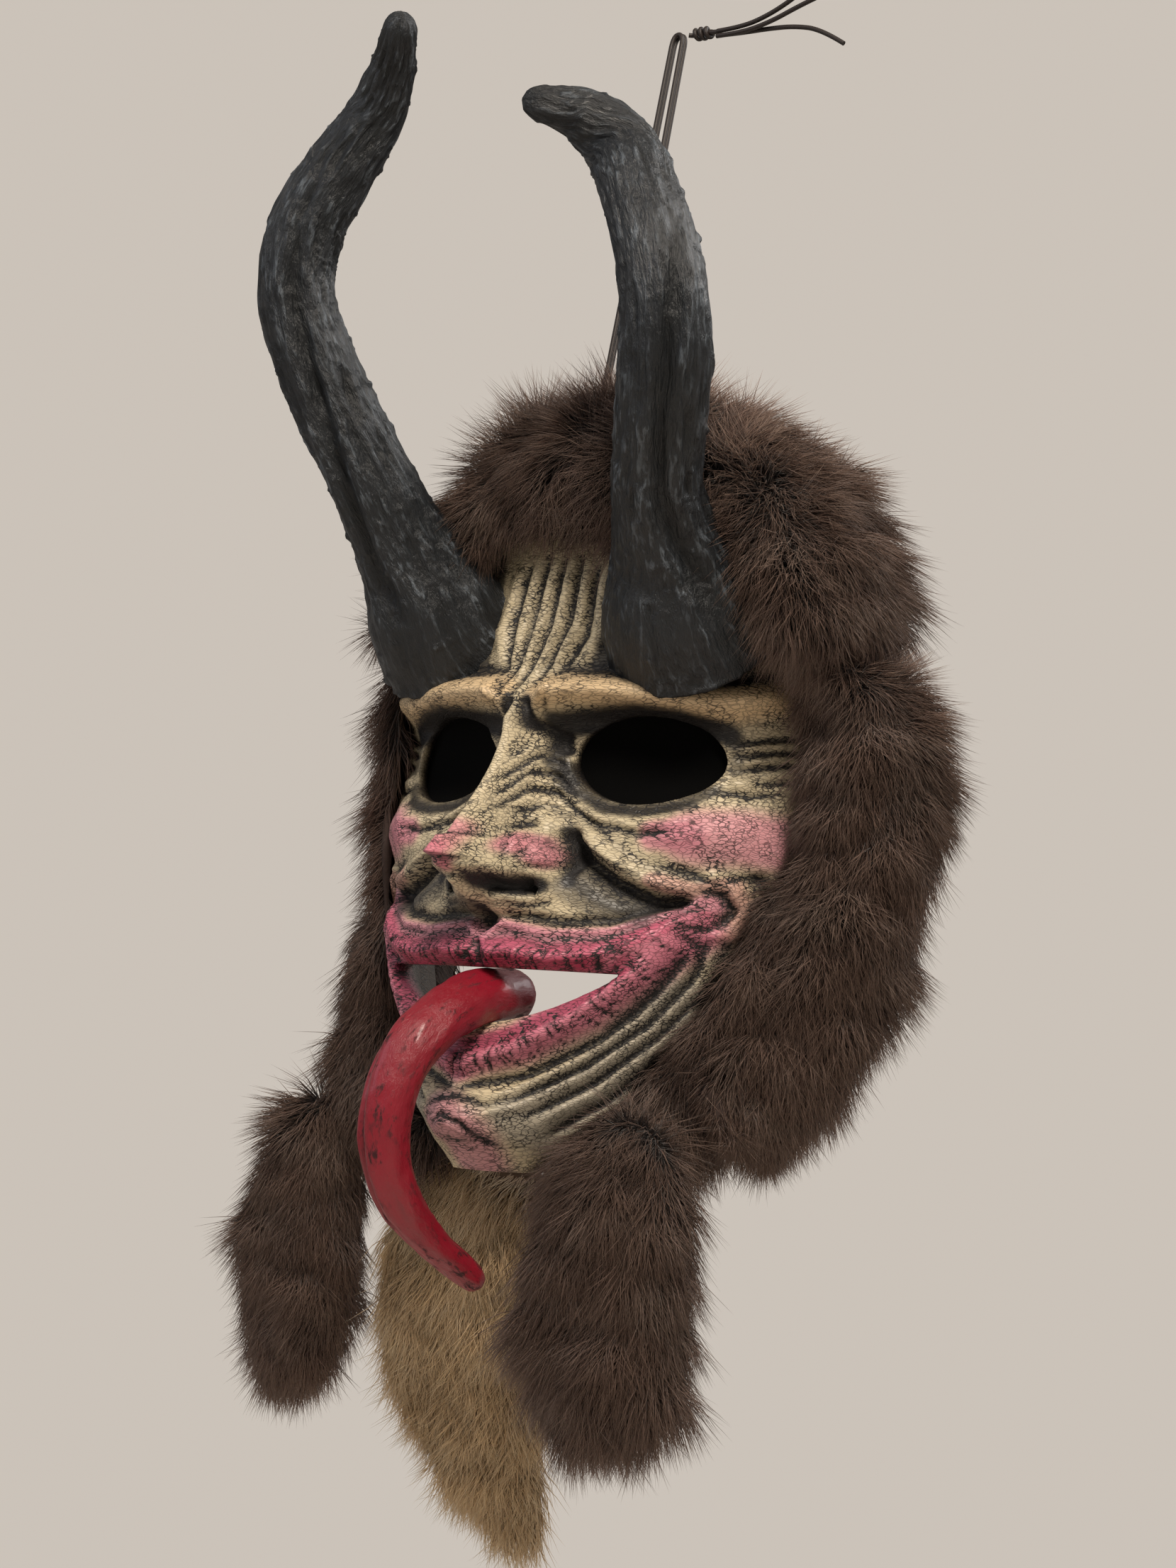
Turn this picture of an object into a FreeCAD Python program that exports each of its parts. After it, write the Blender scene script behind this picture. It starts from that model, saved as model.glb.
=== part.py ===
"""Wall-hung folk devil mask: a cast resin face with horns and a tongue, trimmed with fur pelts.

Frame, in millimetres: the origin is the point where the hanging cord passes over its nail, +Z is up,
the face looks towards -Y, and +X is on the viewer's right. The wall lies behind, at WALL_Y.
"""

import FreeCAD
import Part

import math
import os

Vector = FreeCAD.Vector

# ---------------------------------------------------------------- driving dimensions

WALL_Y = 8.0                # plane of the wall behind the nail

CORD_DROP = 187.0           # nail to the top edge of the face shell
CORD_DIAMETER = 2.0
NAIL_DIAMETER = 3.2
CORD_HOLE_SPACING = 8.0     # between the two cord holes in the shell's top wall
CORD_HOLE_CLEARANCE = 0.4   # round a pair of strands in its hole
CORD_HOLE_DEPTH = 42.0      # cord holes in front of the nail's middle
CORD_SPAN_Y = 1.15          # each loop's distance from the middle, along the nail

FACE_HEIGHT = 294.0         # shell, top edge to under the chin
FACE_WIDTH = 198.0          # shell, across the cheekbones
SHELL_WALL = 5.0
RIM_DEPTH = 12.0            # back edge of the shell, in front of the nail's middle
CHIN_RIM_DEPTH = 66.0       # the same under the chin, where the shell is cut away
RIM_CUT_SHARE = 0.50        # share of the face's height at which that cut begins

NOSE_LENGTH = 44.0          # how far the nose tip stands off the face
BROW_RELIEF = 7.0
LIP_RELIEF = 7.0
CHIN_RELIEF = 13.0

EYE_SPACING = 96.0          # between the middles of the eye holes
EYE_WIDTH = 57.0
EYE_HEIGHT = 36.0
SCREEN_THICKNESS = 1.0
SCREEN_MARGIN = 6.0         # the screen laps over the edge of its eye hole by this
SCREEN_GLUE = 0.05          # between the screen and the shell

MOUTH_WIDTH = 112.0         # open part of the mouth; the lips meet beyond it
MOUTH_GAP = 22.0
SMILE_WIDTH = 166.0         # lips, corner to corner
SMILE_LIFT = 52.0           # rise of the lower lip's ends above its middle
UPPER_LIP_LIFT = 19.0
NOSTRIL_DIAMETER = 9.0
NOSTRIL_SPACING = 26.0

HORN_SPACING = 120.0        # between the middles of the horn roots
HORN_SIZE = 1.0             # both horns, length and thickness together
HORN_SCREW_DIAMETER = 4.0
HORN_SCREW_GRIP = 16.0      # thread inside the horn
SCREW_CLEARANCE = 0.5
SCREW_HEAD_DIAMETER = 8.0
SCREW_HEAD_HEIGHT = 3.0
WASHER_DIAMETER = 14.0
WASHER_THICKNESS = 1.2
BOSS_DIAMETER = 18.0
BOSS_HEIGHT = 5.0

TONGUE_ROOT_DIAMETER = 24.0
TONGUE_TIP_DIAMETER = 12.0

FUR_THICKNESS = 64.0        # pelt and hair, front to back, at the cheeks
FUR_WIDTH = 50.0            # pelt and hair, outwards from the shell
FUR_GAP = 0.6               # between fur and what it stands beside

LAPPET_LENGTH = 126.0
LAPPET_WIDTH = 70.0
LAPPET_THICKNESS = 44.0
BEARD_LENGTH = 162.0
BEARD_WIDTH = 90.0
BEARD_THICKNESS = 32.0

# ---------------------------------------------------------------- the face's form

# Shares of the face's height from its top edge.
HAIRLINE, BROW, EYES, NOSE_TIP, NOSE_BASE = 0.20, 0.345, 0.442, 0.588, 0.640
UPPER_LIP, MOUTH, LOWER_LIP, CHIN = 0.707, 0.731, 0.833, 0.930

# Depth of the middle of the face in front of the nail, at each share of the height.
PROFILE = [(0.0, 54.0), (HAIRLINE, 65.0), (BROW, 77.0), (0.45, 76.0), (0.56, 84.0), (NOSE_BASE, 95.0),
           (MOUTH, 98.0), (LOWER_LIP, 101.0), (CHIN, 108.0), (1.0, 94.0)]
# Depth of the shell's side edges.
EDGE = [(0.0, 24.0), (HAIRLINE, 24.0), (BROW, 28.0), (0.50, 33.0), (0.66, 42.0),
        (0.78, 55.0), (CHIN, 76.0), (1.0, 88.0)]
# Half width as a share of the widest half width.
OUTLINE = [(0.0, 0.44), (0.05, 0.62), (0.10, 0.75), (HAIRLINE, 0.90), (BROW, 0.98), (0.50, 1.0),
           (0.58, 0.97), (0.66, 0.87), (0.775, 0.70), (0.85, 0.58), (0.925, 0.43), (0.97, 0.28), (1.0, 0.15)]
SIDE_ROUNDNESS = 2.4        # power of the curve from the middle of the face to its edge
GRID_COLUMNS, GRID_ROWS = 35, 49
LONG_WAY_BACK = 260.0       # reaches past everything behind the face


def along(rows, share):
    """Value at a share of the height, eased between the rows of a profile."""
    share = min(max(share, rows[0][0]), rows[-1][0])
    for (a, va), (b, vb) in zip(rows, rows[1:]):
        if share <= b:
            t = (share - a) / (b - a)
            return va + (vb - va) * t
    return rows[-1][1]


def smooth_along(rows, share, blur=0.035):
    """The same, averaged over a short stretch so that the profile has no corners."""
    steps = 9
    spread = [blur * (2.0 * i / (steps - 1) - 1.0) for i in range(steps)]
    return sum(along(rows, share + s) for s in spread) / steps


def face_z(share):
    """Height of a share of the face, measured down from its top edge."""
    return -CORD_DROP - FACE_HEIGHT * share


def half_width(share):
    return 0.5 * FACE_WIDTH * smooth_along(OUTLINE, share, 0.02)


def bell(distance, width):
    """A smooth hump: 1 in the middle, fading past the width."""
    return math.exp(-(distance / width) ** 2)


def upper_lip_z(x):
    """Height of the middle of the upper lip: level in front, then up towards the corner."""
    level = SMILE_WIDTH / 4
    beyond = max(0.0, (abs(x) - level) / level)
    return face_z(UPPER_LIP) + UPPER_LIP_LIFT * min(beyond, 1.2) ** 1.3


def lower_lip_z(x):
    """Height of the middle of the lower lip, which rises all the way to the corner."""
    return face_z(LOWER_LIP) + SMILE_LIFT * min(abs(x) / (SMILE_WIDTH / 2), 1.1) ** 1.8


def relief(x, share, nose_share=1.0, nose_thinner=0.0, fine=1.0):
    """How far the features stand proud of the plain face."""
    z = face_z(share)
    length = FACE_HEIGHT * (NOSE_TIP - BROW)
    down = (face_z(BROW) - z) / length
    height = 0.0
    if down > 0.0:
        rise = (0.2 + 0.8 * min(down, 1.0) ** 1.5) * NOSE_LENGTH * min(1.0, 5.0 * down)
        if down > 1.0:
            rise *= max(0.0, 1.0 - (down - 1.0) * length / (FACE_HEIGHT * (NOSE_BASE - NOSE_TIP) * 1.4)) ** 0.8
        width = 9.0 + 7.0 * min(down, 1.0) ** 2 - nose_thinner
        height += nose_share * rise * bell(x, width)
    wing = bell(abs(x) - 15.0, 8.0) * bell(z - face_z(0.605), 10.0)
    height += nose_share * 10.0 * wing
    brow_line = face_z(BROW) - 6.0 * bell(abs(x), 28.0)
    height += fine * BROW_RELIEF * bell(z - brow_line, 9.0) * bell(max(abs(x) - 85.0, 0.0), 14.0)
    socket = bell(abs(x) - 0.5 * EYE_SPACING, 28.0) * bell(z - face_z(EYES), 19.0)
    height -= 8.0 * socket
    height += 6.0 * bell(abs(x) - 68.0, 24.0) * bell(z - face_z(0.53), 16.0)
    lips = bell(z - upper_lip_z(x), 8.0) + bell(z - lower_lip_z(x), 9.0)
    height += fine * LIP_RELIEF * min(lips, 1.0) * bell(max(abs(x) - 0.36 * SMILE_WIDTH, 0.0), 20.0)
    height += CHIN_RELIEF * bell(x, 20.0) * bell(z - face_z(CHIN), 14.0)
    return height


def plain_depth(side, share):
    """Depth of the face without its features: side runs from -1 to 1 across the width."""
    front = smooth_along(PROFILE, share)
    edge = smooth_along(EDGE, share)
    return front - (front - edge) * abs(side) ** SIDE_ROUNDNESS


def outer_depth(side, share):
    return plain_depth(side, share) + relief(side * half_width(share), share)


def inner_depth(side, share):
    """Depth of the inside: the blunter form set back by the wall, measured square to the surface."""
    def form(s, v):
        return plain_depth(s, v) + relief(s * half_width(v), v, 0.72, 3.0, 0.6)
    step = 0.02
    width = half_width(share)
    across = (form(side + step, share) - form(side - step, share)) / (2.0 * step * width)
    down = (form(side, share + step) - form(side, share - step)) / (2.0 * step * FACE_HEIGHT)
    return form(side, share) - SHELL_WALL * math.sqrt(1.0 + min(across ** 2 + down ** 2, 3.0))


def patch(depth, inset):
    """Face-shaped surface, `inset` inside the outline, from a function that gives its depth."""
    rows = []
    for j in range(GRID_ROWS):
        share = j / (GRID_ROWS - 1)
        share = inset / FACE_HEIGHT + share * (1.0 - 2.0 * inset / FACE_HEIGHT)
        width = half_width(share)
        row = []
        for i in range(GRID_COLUMNS):
            side = -1.0 + 2.0 * i / (GRID_COLUMNS - 1)
            row.append(Vector(side * (width - inset), -depth(side * (1.0 - inset / width), share), face_z(share)))
        rows.append(row)
    surface = Part.BSplineSurface()
    surface.interpolate(rows)
    return surface.toShape()


def behind(surface):
    """Everything straight behind a surface, as a solid."""
    return surface.extrude(Vector(0, LONG_WAY_BACK, 0))


def rim_cutter():
    """The space behind the shell's back edge, which comes forward under the chin."""
    start = face_z(RIM_CUT_SHARE)
    far = LONG_WAY_BACK
    points = [Vector(-far, -RIM_DEPTH, far), Vector(-far, -RIM_DEPTH, start),
              Vector(-far, -CHIN_RIM_DEPTH, face_z(1.0)), Vector(-far, -CHIN_RIM_DEPTH, face_z(1.0) - far),
              Vector(-far, 2 * far, face_z(1.0) - far), Vector(-far, 2 * far, far)]
    return Part.Face(Part.makePolygon(points + points[:1])).extrude(Vector(2 * far, 0, 0))


def ellipse_face(x, z, width, height, y):
    ellipse = Part.Ellipse(Vector(x, y, z), width / 2.0, height / 2.0)
    ellipse.Axis = Vector(0, 1, 0)
    ellipse.Center = Vector(x, y, z)
    wide = Part.Wire([ellipse.toShape()])
    box = wide.BoundBox
    if box.ZLength > box.XLength:
        wide.rotate(Vector(x, y, z), Vector(0, 1, 0), 90)
    return Part.Face(wide)


def eye_hole(side, margin=0.0):
    """Cutter for one eye hole: side is -1 or 1."""
    face = ellipse_face(side * EYE_SPACING / 2, face_z(EYES), EYE_WIDTH + 2 * margin,
                        EYE_HEIGHT + 2 * margin, -LONG_WAY_BACK)
    return face.extrude(Vector(0, 2 * LONG_WAY_BACK, 0))


def mouth_curve(drop):
    """One edge of the mouth, from corner to corner, `drop` below the corners at the middle."""
    half = MOUTH_WIDTH / 2
    points = []
    count = 17
    for i in range(count):
        x = -half + MOUTH_WIDTH * i / (count - 1)
        points.append(Vector(x, -LONG_WAY_BACK, face_z(MOUTH) - drop * (1.0 - (x / half) ** 2)))
    curve = Part.BSplineCurve()
    curve.interpolate(points)
    return curve.toShape()


def mouth_hole():
    return Part.Face(Part.Wire([mouth_curve(0.0), mouth_curve(MOUTH_GAP)])).extrude(
        Vector(0, 2 * LONG_WAY_BACK, 0))


def rod(start, direction, length, diameter):
    return Part.makeCylinder(diameter / 2, length, start, direction)


def nostril(side):
    """Cutter for one nostril, drilled up and back into the nose."""
    start = Vector(side * NOSTRIL_SPACING / 2, -118.0, face_z(NOSE_BASE) - 6.0)
    return rod(start, Vector(0, 0.45, 0.9), 26.0, NOSTRIL_DIAMETER)


# ---------------------------------------------------------------- horns and tongue

# Middle line of a horn, from its root: outwards, forwards and upwards, and its thickness there.
LEFT_HORN = [(-4, 0, 0, 58), (-2, 15, 13, 46), (2, 28, 32, 40), (9, 49, 62, 35), (23, 65, 98, 33),
             (33, 75, 132, 32), (30, 77, 160, 31), (18, 74, 184, 28), (3, 71, 206, 23), (-10, 77, 222, 18),
             (-20, 86, 234, 14)]
RIGHT_HORN = [(0, 0, 0, 60), (2, 14, 12, 48), (5, 27, 30, 40), (11, 48, 52, 36), (22, 65, 76, 34),
              (29, 75, 102, 34), (26, 77, 129, 33), (14, 74, 158, 30), (-1, 70, 181, 26), (-13, 78, 192, 21),
              (-24, 89, 195, 15)]
HORN_ROOT_DEPTH = 54.0              # the root's middle is inside the forehead
HORN_ROOT_Z = -268.0
HORN_FLATTENING = 0.90              # front to back thickness over width


def horn_root(side):
    return Vector(side * HORN_SPACING / 2, -HORN_ROOT_DEPTH, HORN_ROOT_Z)


def ring(centre, direction, wide, deep):
    """Closed oval across a direction: `wide` sideways and `deep` the other way."""
    direction = Vector(direction).normalize()
    sideways = Vector(1, 0, 0) - direction * direction.x
    sideways.normalize()
    third = direction.cross(sideways)
    count = 12
    points = []
    for i in range(count):
        turn = 2.0 * math.pi * i / count
        points.append(centre + sideways * (0.5 * wide * math.cos(turn)) + third * (0.5 * deep * math.sin(turn)))
    curve = Part.BSplineCurve()
    curve.interpolate(points, PeriodicFlag=True)
    return Part.Wire([curve.toShape()])


def tapered(points, sizes, flattening, closing):
    """Solid that follows the points with oval sections of the given sizes and a rounded end."""
    sections = []
    last = len(points) - 1
    for i, (point, size) in enumerate(zip(points, sizes)):
        direction = points[min(i + 1, last)] - points[max(i - 1, 0)]
        sections.append(ring(point, direction, size, size * flattening))
    tip = Vector(points[last] - points[last - 1]).normalize()
    reach = sizes[-1] * closing
    sections.append(ring(points[last] + tip * reach * 0.62, tip, sizes[-1] * 0.78, sizes[-1] * 0.78 * flattening))
    sections.append(ring(points[last] + tip * reach, tip, sizes[-1] * 0.36, sizes[-1] * 0.36 * flattening))
    return Part.makeLoft(sections, True, False)


def horn_blank(side, extra=0.0):
    rows = RIGHT_HORN if side > 0 else LEFT_HORN
    root = horn_root(side)
    points = [root + Vector(side * out, -forward, up) * HORN_SIZE for out, forward, up, _ in rows]
    sizes = [thick * HORN_SIZE + 2 * extra for _, _, _, thick in rows]
    return tapered(points, sizes, HORN_FLATTENING, 0.5)


TONGUE_ROWS = [(4, 74, -11, 0.94), (3, 84, -11, 1.0), (1, 110, -15, 1.0), (-2, 133, -29, 0.95),
               (-5, 144, -49, 0.88), (-6, 145, -70, 0.82), (-4, 137, -90, 0.74), (0, 121, -106, 0.63),
               (6, 104, -119, 0.50)]


def tongue_blank():
    """Tongue: comes out between the lips, over the lower one, and curls down in front of the chin."""
    lip = face_z(MOUTH)
    points = [Vector(x, -depth, lip + up) for x, depth, up, _ in TONGUE_ROWS]
    small = TONGUE_TIP_DIAMETER / TONGUE_ROOT_DIAMETER
    low = TONGUE_ROWS[-1][3]
    sizes = [TONGUE_ROOT_DIAMETER * (small + (share - low) * (1.0 - small) / (1.0 - low))
             for _, _, _, share in TONGUE_ROWS]
    return tapered(points, sizes, 0.9, 0.5)


# ---------------------------------------------------------------- fasteners

HORN_SCREW_DIRECTION = Vector(0.10, -0.72, 0.68).normalize()


def mirrored(direction, side):
    return Vector(side * direction.x, direction.y, direction.z)


def horn_seat(side):
    """Where the horn's screw passes the inside of the forehead, and the way it points."""
    direction = mirrored(HORN_SCREW_DIRECTION, side)
    share = 0.30
    x = side * HORN_SPACING / 2
    inner = Vector(x, -inner_depth(x / half_width(share), share), face_z(share))
    return inner, direction


def tongue_seat():
    """The same for the tongue, up through the lower lip."""
    share = LOWER_LIP + 0.02
    inner = Vector(2.0, -inner_depth(0.01, share) + 2.0, face_z(share))
    return inner, Vector(0, -0.40, 0.92).normalize()


def boss(seat):
    inner, direction = seat
    return rod(inner - direction * BOSS_HEIGHT, direction, BOSS_HEIGHT + SHELL_WALL, BOSS_DIAMETER)


def screw_hole(seat):
    inner, direction = seat
    return rod(inner - direction * 40.0, direction, 80.0, HORN_SCREW_DIAMETER + SCREW_CLEARANCE)


def spot_face(seat):
    """Clears the washer and the screw's head behind the boss."""
    inner, direction = seat
    return rod(inner - direction * BOSS_HEIGHT, direction * -1.0, 12.0, WASHER_DIAMETER + 2 * SCREW_CLEARANCE)


def screw(seat):
    inner, direction = seat
    under_head = inner - direction * (BOSS_HEIGHT + WASHER_THICKNESS)
    head = rod(under_head - direction * SCREW_HEAD_HEIGHT, direction, SCREW_HEAD_HEIGHT, SCREW_HEAD_DIAMETER)
    shank = rod(under_head, direction, BOSS_HEIGHT + WASHER_THICKNESS + 2 * SHELL_WALL + HORN_SCREW_GRIP,
                HORN_SCREW_DIAMETER)
    return head.fuse(shank).removeSplitter()


def washer(seat):
    inner, direction = seat
    back = inner - direction * (BOSS_HEIGHT + WASHER_THICKNESS)
    disc = rod(back, direction, WASHER_THICKNESS, WASHER_DIAMETER)
    return disc.cut(rod(back, direction, WASHER_THICKNESS, HORN_SCREW_DIAMETER + SCREW_CLEARANCE))


# ---------------------------------------------------------------- fur

def pelt(sections):
    """Soft closed form through oval sections: centre, direction, width and thickness of each."""
    return Part.makeLoft([ring(*section) for section in sections], True, False)


def band(centre, angle, wide, deep):
    """Oval across a pelt that runs round the face: the angle is 0 towards +X and 90 upwards."""
    turn = math.radians(angle)
    outwards = Vector(math.cos(turn), 0, math.sin(turn))
    count = 12
    points = []
    for i in range(count):
        a = 2.0 * math.pi * i / count
        points.append(centre + outwards * (0.5 * wide * math.cos(a)) + Vector(0, 0.5 * deep * math.sin(a), 0))
    curve = Part.BSplineCurve()
    curve.interpolate(points, PeriodicFlag=True)
    return Part.Wire([curve.toShape()])


def crown_form():
    """Thick fur over the top of the head, fuller on the right than on the left."""
    reach = FACE_WIDTH / 2
    top = face_z(0.0)
    depth = -36.0
    rows = [(1.12, -82.0, 0, 0.90), (1.08, -52.0, 20, 1.06), (0.84, -30.0, 45, 1.26), (0.46, -18.0, 70, 1.46),
            (0.10, -15.0, 90, 1.50), (-0.24, -20.0, 112, 1.26), (-0.50, -36.0, 138, 0.90), (-0.72, -58.0, 158, 0.60),
            (-0.84, -82.0, 176, 0.46)]
    return Part.makeLoft([band(Vector(out * reach, depth, top + up), angle, FUR_WIDTH * size, 84.0)
                          for out, up, angle, size in rows], True, False)


RIGHT_CHEEK = [(1.14, 0.28, 0, 0.96, 27), (1.26, 0.36, 0, 1.24, 24), (1.30, 0.46, -4, 1.34, 23),
               (1.27, 0.60, -10, 1.34, 24), (1.16, 0.72, -22, 1.30, 28), (1.02, 0.83, -38, 1.20, 36),
               (0.86, 0.91, -52, 0.90, 42)]
LEFT_CHEEK = [(0.87, 0.28, 0, 0.44, 30), (0.90, 0.36, 0, 0.52, 27), (0.92, 0.46, -4, 0.58, 24),
              (0.88, 0.60, -10, 0.64, 26), (0.86, 0.72, -20, 0.80, 30), (0.90, 0.80, -32, 0.90, 33),
              (0.92, 0.845, -44, 0.66, 36)]


def cheek_form(side):
    """Fur beside the face, from the temple to the jaw; the right one is fuller."""
    reach = FACE_WIDTH / 2
    sections = []
    for out, share, angle, size, depth in RIGHT_CHEEK if side > 0 else LEFT_CHEEK:
        angle = angle if side > 0 else 180 - angle
        middle = Vector(side * out * reach, -depth, face_z(share))
        sections.append(band(middle, angle, FUR_WIDTH * size, FUR_THICKNESS))
    return Part.makeLoft(sections, True, False)


def hanging(points, widths, thicknesses):
    """Flap of fur that hangs through the points."""
    sections = []
    last = len(points) - 1
    for i, point in enumerate(points):
        direction = points[max(i - 1, 0)] - points[min(i + 1, last)]
        sections.append((point, direction, widths[i], thicknesses[i]))
    return pelt(sections)


LAPPET_TOP = 0.895          # share of the face's height where the lappets begin


def lappet_form(side):
    """Ear-shaped flap of fur hanging straight down from the hide beside the jaw."""
    top = face_z(LAPPET_TOP) - 3.0
    if side > 0:
        depth, width = 92.0, LAPPET_WIDTH
        line = [(74, 0.0), (71, 0.10), (67, 0.28), (65, 0.50), (65, 0.74), (68, 0.92), (70, 1.0)]
    else:
        depth, width = 58.0, LAPPET_WIDTH * 0.84
        line = [(-104, 0.0), (-107, 0.10), (-110, 0.28), (-114, 0.50), (-116, 0.74), (-112, 0.92), (-110, 1.0)]
    points = [Vector(x, -depth, top - LAPPET_LENGTH * share) for x, share in line]
    return hanging(points, [width * s for s in (0.36, 0.66, 0.92, 1.0, 0.98, 0.70, 0.34)],
                   [LAPPET_THICKNESS * s for s in (0.30, 0.60, 0.92, 1.0, 1.0, 0.72, 0.36)])


def beard_form():
    """Pointed flap of paler fur: starts behind the chin's rim, comes forward under it and hangs back."""
    top = face_z(1.0) + 7.0
    line = [(-18, 46, 0.0), (-23, 53, 0.12), (-30, 54, 0.28), (-35, 48, 0.46), (-31, 39, 0.68), (-19, 29, 0.88),
            (-10, 22, 1.0)]
    points = [Vector(x, -depth, top - BEARD_LENGTH * share) for x, depth, share in line]
    return hanging(points, [BEARD_WIDTH * s for s in (0.56, 0.82, 0.98, 1.0, 0.80, 0.46, 0.17)],
                   [BEARD_THICKNESS * s for s in (0.45, 0.86, 1.0, 1.0, 0.92, 0.66, 0.30)])


# ---------------------------------------------------------------- cord

BEND_SHARE = 0.45


def tube(points, diameter, radii=None):
    """Cord of straight runs joined by tangent arcs through a list of points; prints the arc radii."""
    edges = []
    used = []
    start = points[0]
    for i in range(1, len(points) - 1):
        before, here, after = points[i - 1], points[i], points[i + 1]
        into = Vector(here - before).normalize()
        out = Vector(after - here).normalize()
        turn = into.getAngle(out)
        shorter = min((here - before).Length, (after - here).Length)
        radius = BEND_SHARE * shorter / math.tan(turn / 2)
        if radii and i in radii:
            radius = radii[i]
        setback = radius * math.tan(turn / 2)
        first = here - into * setback
        second = here + out * setback
        bisector = Vector(out - into).normalize()
        middle = here + bisector * (radius / math.cos(turn / 2) - radius)
        edges.append(Part.LineSegment(start, first).toShape())
        edges.append(Part.Arc(first, middle, second).toShape())
        start = second
        used.append(round(radius, 1))
    edges.append(Part.LineSegment(start, points[-1]).toShape())
    path = Part.Wire(edges)
    section = Part.Wire([Part.makeCircle(diameter / 2, points[0], Vector(points[1] - points[0]))])
    solid = path.makePipeShell([section], True, True)
    share = solid.Volume / (math.pi * diameter ** 2 / 4 * path.Length)
    print("cord: length %.1f, radii %s, volume share %.3f" % (path.Length, used, share))
    return solid


def loop_points(y):
    """One loop of the cord: from inside the shell, up over the nail and down again."""
    hole = CORD_HOLE_SPACING / 2
    over = NAIL_DIAMETER / 2 + CORD_DIAMETER / 2
    seat = shell_top_point()
    foot = Vector(0, seat.y + y, seat.z - SHELL_WALL - 3.0)
    return [foot + Vector(-0.3, 0, 0), foot + Vector(-hole, 0, 0), Vector(-over, y, over),
            Vector(over, y, over), foot + Vector(hole, 0, 0), foot + Vector(0.3, 0, 0)]


def shell_top_point():
    """Middle of the shell's top wall, where the cord holes are."""
    return Vector(0, -CORD_HOLE_DEPTH, face_z(0.0))


KNOT_MIDDLE = Vector(14.0, -3.0, 0.6)
KNOT_SIZE = (17.0, 6.2, 5.8)
TAIL_START = Vector(22.0, -4.4, 0.2)

TAIL_LONG = [(0.0, 0.0, 0.0), (13.0, -1.2, -0.4), (26.0, -2.0, 2.4), (39.0, -3.0, 7.6), (51.0, -4.2, 14.6),
             (61.0, -5.6, 23.0)]
TAIL_MIDDLE = [(0.0, -0.4, -2.3), (13.0, -1.4, -2.9), (27.0, -1.6, -0.4), (41.0, -2.2, 4.2), (55.0, -3.0, 7.8),
               (69.0, -4.0, 13.6)]
TAIL_SHORT = [(0.0, 2.2, -1.2), (12.0, 1.4, -2.0), (24.0, 0.8, -2.2), (37.0, 1.2, -2.7), (50.0, 1.8, -5.6),
              (61.0, 2.4, -13.0)]


def tail(rows):
    return tube([TAIL_START + Vector(*row) for row in rows], CORD_DIAMETER)


def knot():
    """Tight overhand knot as a rounded oval lump."""
    ball = Part.makeSphere(1.0)
    matrix = FreeCAD.Matrix()
    matrix.scale(*(0.5 * size for size in KNOT_SIZE))
    ball = ball.transformGeometry(matrix)
    ball.translate(KNOT_MIDDLE)
    return ball


# ---------------------------------------------------------------- assembly

def screen(side):
    """Dark cloth behind an eye hole, following the inside of the shell."""
    front = patch(lambda s, v: inner_depth(s, v) - SCREEN_GLUE, SHELL_WALL)
    sheet = front.extrude(Vector(0, SCREEN_THICKNESS, 0))
    return sheet.common(eye_hole(side, SCREEN_MARGIN))


def largest(shape):
    """The biggest solid of a cut, without the slivers."""
    return max(shape.Solids, key=lambda solid: solid.Volume)


def build_shell(outer, inner):
    shell = outer.cut(inner)
    for side in (-1, 1):
        shell = shell.fuse(boss(horn_seat(side)).common(outer))
    shell = shell.fuse(boss(tongue_seat()).common(outer))
    shell = shell.cut(rim_cutter()).cut(mouth_hole())
    for side in (-1, 1):
        shell = shell.cut(eye_hole(side)).cut(nostril(side)).cut(cord_hole(side))
    for seat in (horn_seat(-1), horn_seat(1), tongue_seat()):
        shell = shell.cut(screw_hole(seat)).cut(spot_face(seat))
    return largest(shell)


def cord_hole(side):
    """Slot through the shell's top wall for the two strands on one side, along their lean."""
    holes = []
    for y in (-CORD_SPAN_Y, CORD_SPAN_Y):
        points = loop_points(y)
        low, high = (points[1], points[2]) if side < 0 else (points[4], points[3])
        holes.append(rod(low, high - low, 30.0, CORD_DIAMETER + 2 * CORD_HOLE_CLEARANCE))
    return holes[0].fuse(holes[1])


def cord_channel():
    """Parting in the crown fur where the strands of the cord pass."""
    top = shell_top_point()
    low = Vector(0, top.y, top.z - 4.0)
    return rod(low, Vector(0, 0, 0) - low, 60.0, CORD_HOLE_SPACING + CORD_DIAMETER + 2 * FUR_GAP)


def build_horn(side, outer):
    seat = horn_seat(side)
    horn = largest(horn_blank(side).cut(outer))
    inner, direction = seat
    pilot = rod(inner, direction, 2 * SHELL_WALL + HORN_SCREW_GRIP, HORN_SCREW_DIAMETER)
    return largest(horn.cut(pilot))


def build_tongue(shell):
    tongue = largest(tongue_blank().cut(shell))
    inner, direction = tongue_seat()
    return largest(tongue.cut(rod(inner, direction, 2 * SHELL_WALL + HORN_SCREW_GRIP, HORN_SCREW_DIAMETER)))


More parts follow.
